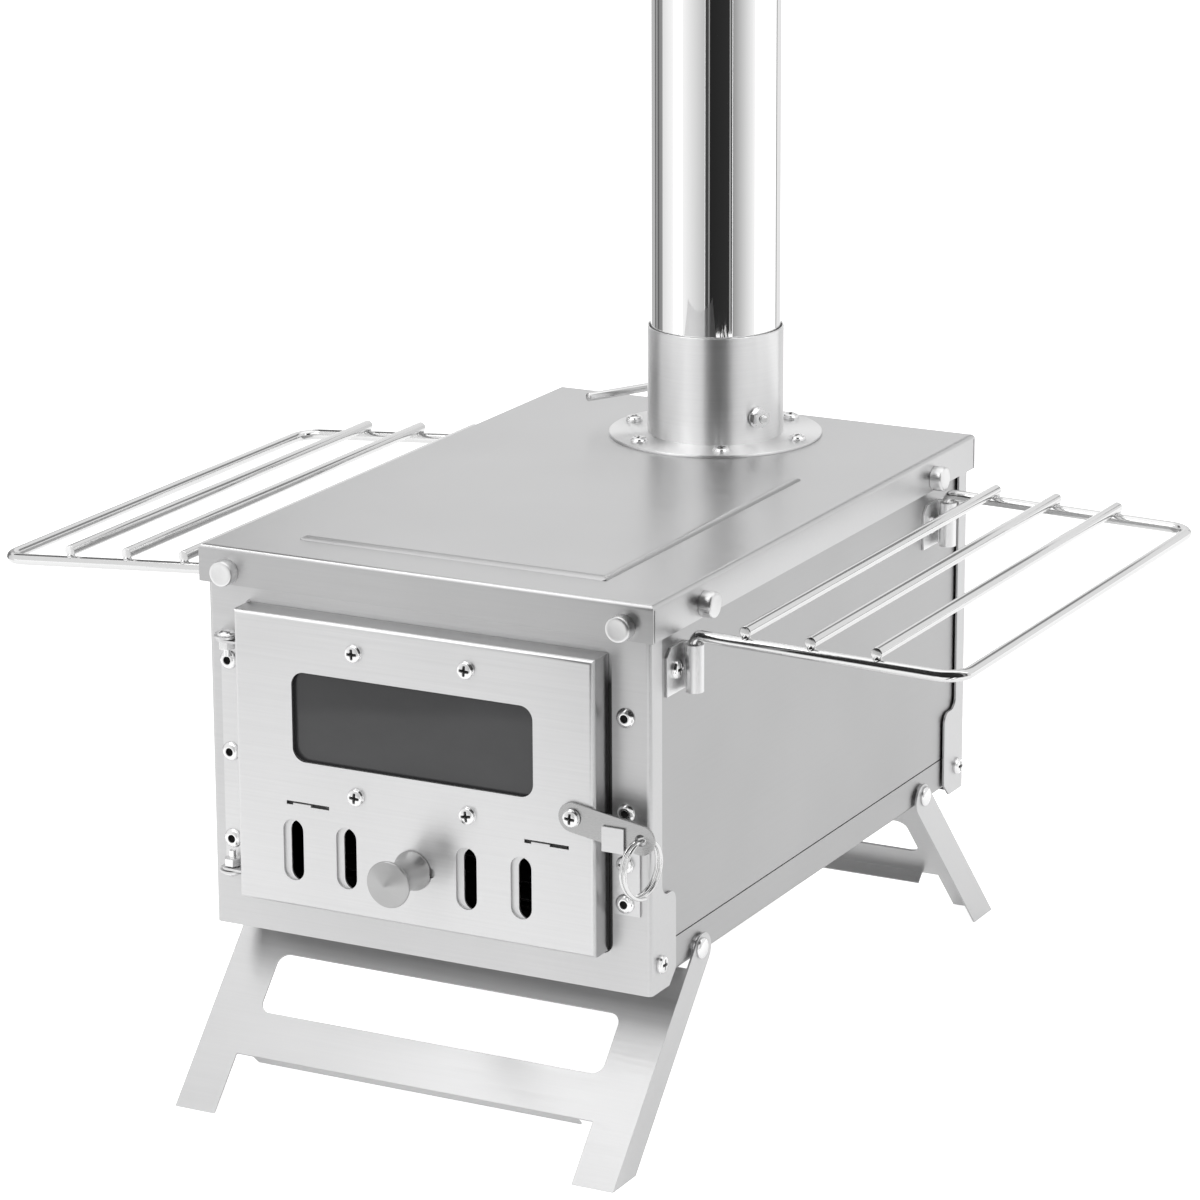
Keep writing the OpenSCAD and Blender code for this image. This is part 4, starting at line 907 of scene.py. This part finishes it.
# Lights: place, target, width, height and power as a share of the key light's, in metres
LIGHTS = {
    "front_light": ((-0.6, -2.6, 1.9), (0, 0, 0.15), 2.2, 2.2, 1.0),
    "right_light": ((2.6, -0.4, 1.6), (0, 0, 0.2), 1.8, 1.8, 0.6),
    "top_light": ((0.0, 0.4, 3.0), (0, 0, 0.2), 2.6, 2.6, 0.7),
    "edge_light": ((-0.71, -0.63, 1.59), (0, -0.16, 0.24), 1.0, 0.25, 0.2),
}


def area_light(name, place, target, width, height, power):
    light = with_settings(bpy.data.lights.new(name, "AREA"), energy=power, shape="RECTANGLE", size=width,
                          size_y=height)
    aim = (Vector(target) - Vector(place)).to_track_quat("-Z", "Y").to_euler()
    with_settings(add_object(name, light), location=place, rotation_euler=aim)


def floor_material():
    """Pale floor: seen straight or in metal it is white paper, which the shadow darkens a little. Its glow in
    metal rises with the distance from the stove."""
    material, shader = new_material("floor_paper")
    path = add_node(material, "ShaderNodeLightPath")
    bright = math_node(material, "MULTIPLY", path.outputs["Is Camera Ray"], 0.8)
    mirrored = math_node(material, "ADD", path.outputs["Is Glossy Ray"], path.outputs["Is Transmission Ray"])
    mirrored = math_node(material, "MINIMUM", mirrored, 1.0)
    away = vector_node(material, "LENGTH", object_place(material), result="Value")
    mirrored = math_node(material, "MULTIPLY", mirrored, carried(material, away, (0.5, 3.0), (0.42, 0.6)))
    grain = noise(material, (40.0, 40.0, 40.0))
    set_inputs(material, shader, {
        "Base Color": carried(material, grain, (0.0, 1.0), (0.84, 0.86)),
        "Roughness": 0.9,
        "Emission Color": (1, 1, 1, 1),
        "Emission Strength": math_node(material, "ADD", bright, mirrored),
    })
    return material


# Studio cards round the chimney: degrees to the right of the camera's own direction and the tone at each end,
# then the foot, top and distance of each group in metres. The near ones hang clear of the stove, beyond its
# front and right side, and the high ones are seen only by surfaces that spread what they reflect.
LOW_CARDS = (
    (-154, -134, 0.5, 0.5), (-134, -130, 0.12, 0.12), (-130, -123, 0.34, 0.34),
    (-123, -118.5, 0.12, 0.12), (-118.5, -107, 0.24, 0.3), (-107, -80, 0.78, 1.0),
    (131, 135, 0.32, 0.32), (135, 160, 0.85, 0.8),
)
TALL_CARDS = ((-60, -19, 1.0, 0.55), (29.5, 72, 0.32, 1.0))
NEAR_CARDS = (
    (-18, -12.3, 0.06, 0.06), (-12.3, -10.4, 0.34, 0.34), (-10.4, 23.2, 0.02, 0.03),
    (23.2, 25.6, 0.36, 0.36), (25.6, 28, 0.06, 0.06),
)
HIGH_CARDS = (
    (-154, -107, 0.15, 0.15), (-60, -19, 1.9, 1.9), (29.5, 72, 1.9, 1.9), (131, 160, 0.3, 0.3),
)
CARD_FOOT, CARD_TOP, TALL_TOP = 0.03, 0.43, 1.1
NEAR_FOOT, NEAR_TOP, NEAR_RADIUS = 0.205, 0.8, 0.37
HIGH_FOOT, HIGH_TOP, HIGH_GAP = 0.56, 1.1, 0.01

# Strips on the floor, seen in the upright folds: degrees to the right of straight ahead and the tone. They
# run outwards from the front right corner, between two distances, at a small height in metres.
FLOOR_STRIPS = ((46.0, 58.0, 0.05), (60.0, 66.0, 2.2), (68.0, 73.0, 0.1))
STRIP_START, STRIP_END, STRIP_LIFT = 0.22, 0.9, 0.001


def card_material():
    """Card that glows on its inner side with the tone that the mesh carries; from outside it isn't there."""
    material = bpy.data.materials.new("studio_card")
    material.use_nodes = True
    material.node_tree.nodes.clear()
    tone = add_node(material, "ShaderNodeAttribute", attribute_name="tone")
    glow = add_node(material, "ShaderNodeEmission", {"Strength": tone.outputs["Fac"]})
    clear = add_node(material, "ShaderNodeBsdfTransparent")
    side = add_node(material, "ShaderNodeNewGeometry")
    mix = add_node(material, "ShaderNodeMixShader",
                   {0: side.outputs["Backfacing"], 1: glow.outputs["Emission"], 2: clear.outputs["BSDF"]})
    add_node(material, "ShaderNodeOutputMaterial", {"Surface": mix.outputs["Shader"]})
    return material


def add_cards(stage):
    """Upright strips on circles about the flue, x = R sin t and y = -R cos t from its axis, for each card's
    angles, and level strips on the floor. Only reflections see them: they make the dark and light bands that
    polished metal shows in a studio."""
    steps = 12
    points, faces, tones = [], [], []

    def add_strip(near_edge, far_edge, tone_start, tone_end):
        faces.append(grid_faces(2, steps)[:, ::-1] + 2 * steps * len(points))
        points.append(np.concatenate([near_edge, far_edge]))
        tones.append(np.tile(np.linspace(tone_start, tone_end, steps), 2))

    def ways(start, end, lead=0.0):
        t = np.radians(lead + np.linspace(start, end, steps))
        return np.stack([np.sin(t), -np.cos(t), np.zeros(steps)], -1)

    lead = math.degrees(math.atan2(stage.camera_place[0], FLUE_Y * MM - stage.camera_place[1]))
    for cards, radius, foot, top in ((LOW_CARDS, stage.card_radius, CARD_FOOT, CARD_TOP),
                                     (TALL_CARDS, stage.card_radius, CARD_FOOT, TALL_TOP),
                                     (NEAR_CARDS, NEAR_RADIUS, NEAR_FOOT, NEAR_TOP),
                                     (HIGH_CARDS, stage.card_radius - HIGH_GAP, HIGH_FOOT, HIGH_TOP)):
        for start, end, tone_start, tone_end in cards:
            edge = [0, FLUE_Y * MM, foot] + radius * ways(start, end, lead)
            add_strip(edge, edge + [0, 0, top - foot], tone_start, tone_end)
    corner = np.array([SIDE_FACE * MM, PANEL_FRONT * MM, STRIP_LIFT])
    for start, end, tone in FLOOR_STRIPS:
        way = ways(start, end)
        add_strip(corner + STRIP_START * way, corner + STRIP_END * way, tone, tone)
    mesh = write_mesh("stage_cards", np.concatenate(points), faces)
    add_values(mesh, "tone", np.concatenate(tones))
    mesh.materials.append(card_material())
    cards = add_object("stage_cards", mesh)
    cards.visible_camera = cards.visible_diffuse = cards.visible_shadow = False
    cards.visible_transmission = cards.visible_volume_scatter = False


def add_floor():
    """Level floor a hair under the feet, far wider than the view."""
    reach, drop = 30.0, 0.0002
    floor = bpy.data.meshes.new("stage_floor")
    floor.from_pydata([(-reach, -reach, 0), (reach, -reach, 0), (reach, reach, 0), (-reach, reach, 0)], [],
                      [(0, 1, 2, 3)])
    floor.materials.append(floor_material())
    ground = add_object("stage_floor", floor)
    ground.location = (0, 0, -drop)


def add_world(stage):
    """Even white surroundings: 1 for the camera, the backdrop's strength in reflections, and the sky's for
    all other light."""
    world = bpy.data.worlds.new("studio")
    bpy.context.scene.world = world
    world.use_nodes = True
    world.node_tree.nodes.clear()
    path = add_node(world, "ShaderNodeLightPath")
    level = carried(world, path.outputs["Is Glossy Ray"], (0.0, 1.0), (stage.sky, stage.backdrop))
    level = carried(world, path.outputs["Is Camera Ray"], (0.0, 1.0), (level, 1.0))
    glow = add_node(world, "ShaderNodeBackground", {"Color": (1, 1, 1, 1), "Strength": level})
    add_node(world, "ShaderNodeOutputWorld", {"Surface": glow.outputs["Background"]})


def add_camera(stage):
    camera = with_settings(bpy.data.cameras.new("camera"), lens=stage.lens, sensor_width=36.0,
                           clip_start=0.05, clip_end=100.0)
    bpy.context.scene.camera = with_settings(add_object("camera", camera), location=stage.camera_place,
                                             rotation_euler=stage.camera_turn)


class STOVE_OT_stage(bpy.types.Operator):
    """Sets the floor, the cards, the lights, the world and the camera"""
    bl_idname = "stove.stage"
    bl_label = "Stage"

    def execute(self, context):
        stage = context.scene.stove_stage
        add_floor()
        add_cards(stage)
        for name, (place, target, width, height, share) in LIGHTS.items():
            area_light(name, place, target, width, height, stage.key_power * share)
        add_world(stage)
        add_camera(stage)
        context.scene.view_settings.view_transform = "Standard"
        return {"FINISHED"}


class STOVE_PT_panel(bpy.types.Panel):
    """Lists the stove's pieces"""
    bl_label = "Tent wood stove"
    bl_idname = "STOVE_PT_panel"
    bl_space_type = "VIEW_3D"
    bl_region_type = "UI"
    bl_category = "Stove"

    def draw(self, context):
        layout = self.layout
        for step in OPERATORS:
            layout.operator(step.bl_idname)
        for group in (context.scene.stove_sizes, context.scene.stove_finish, context.scene.stove_stage):
            for name in group.__annotations__:
                layout.prop(group, name)


OPERATORS = (STOVE_OT_sheet, STOVE_OT_flue, STOVE_OT_damper, STOVE_OT_racks, STOVE_OT_ring, STOVE_OT_knob,
             STOVE_OT_fasteners, STOVE_OT_stage)
CLASSES = (StoveSizes, StoveFinish, StoveStage, *OPERATORS, STOVE_PT_panel)


def register():
    for item in CLASSES:
        bpy.utils.register_class(item)
    bpy.types.Scene.stove_sizes = bpy.props.PointerProperty(type=StoveSizes)
    bpy.types.Scene.stove_finish = bpy.props.PointerProperty(type=StoveFinish)
    bpy.types.Scene.stove_stage = bpy.props.PointerProperty(type=StoveStage)


def unregister():
    del bpy.types.Scene.stove_sizes, bpy.types.Scene.stove_finish, bpy.types.Scene.stove_stage
    for item in reversed(CLASSES):
        bpy.utils.unregister_class(item)


def main():
    register()
    make_materials()
    for step in OPERATORS:
        family, action = step.bl_idname.split(".")
        getattr(getattr(bpy.ops, family), action)()


if __name__ == "__main__":
    main()
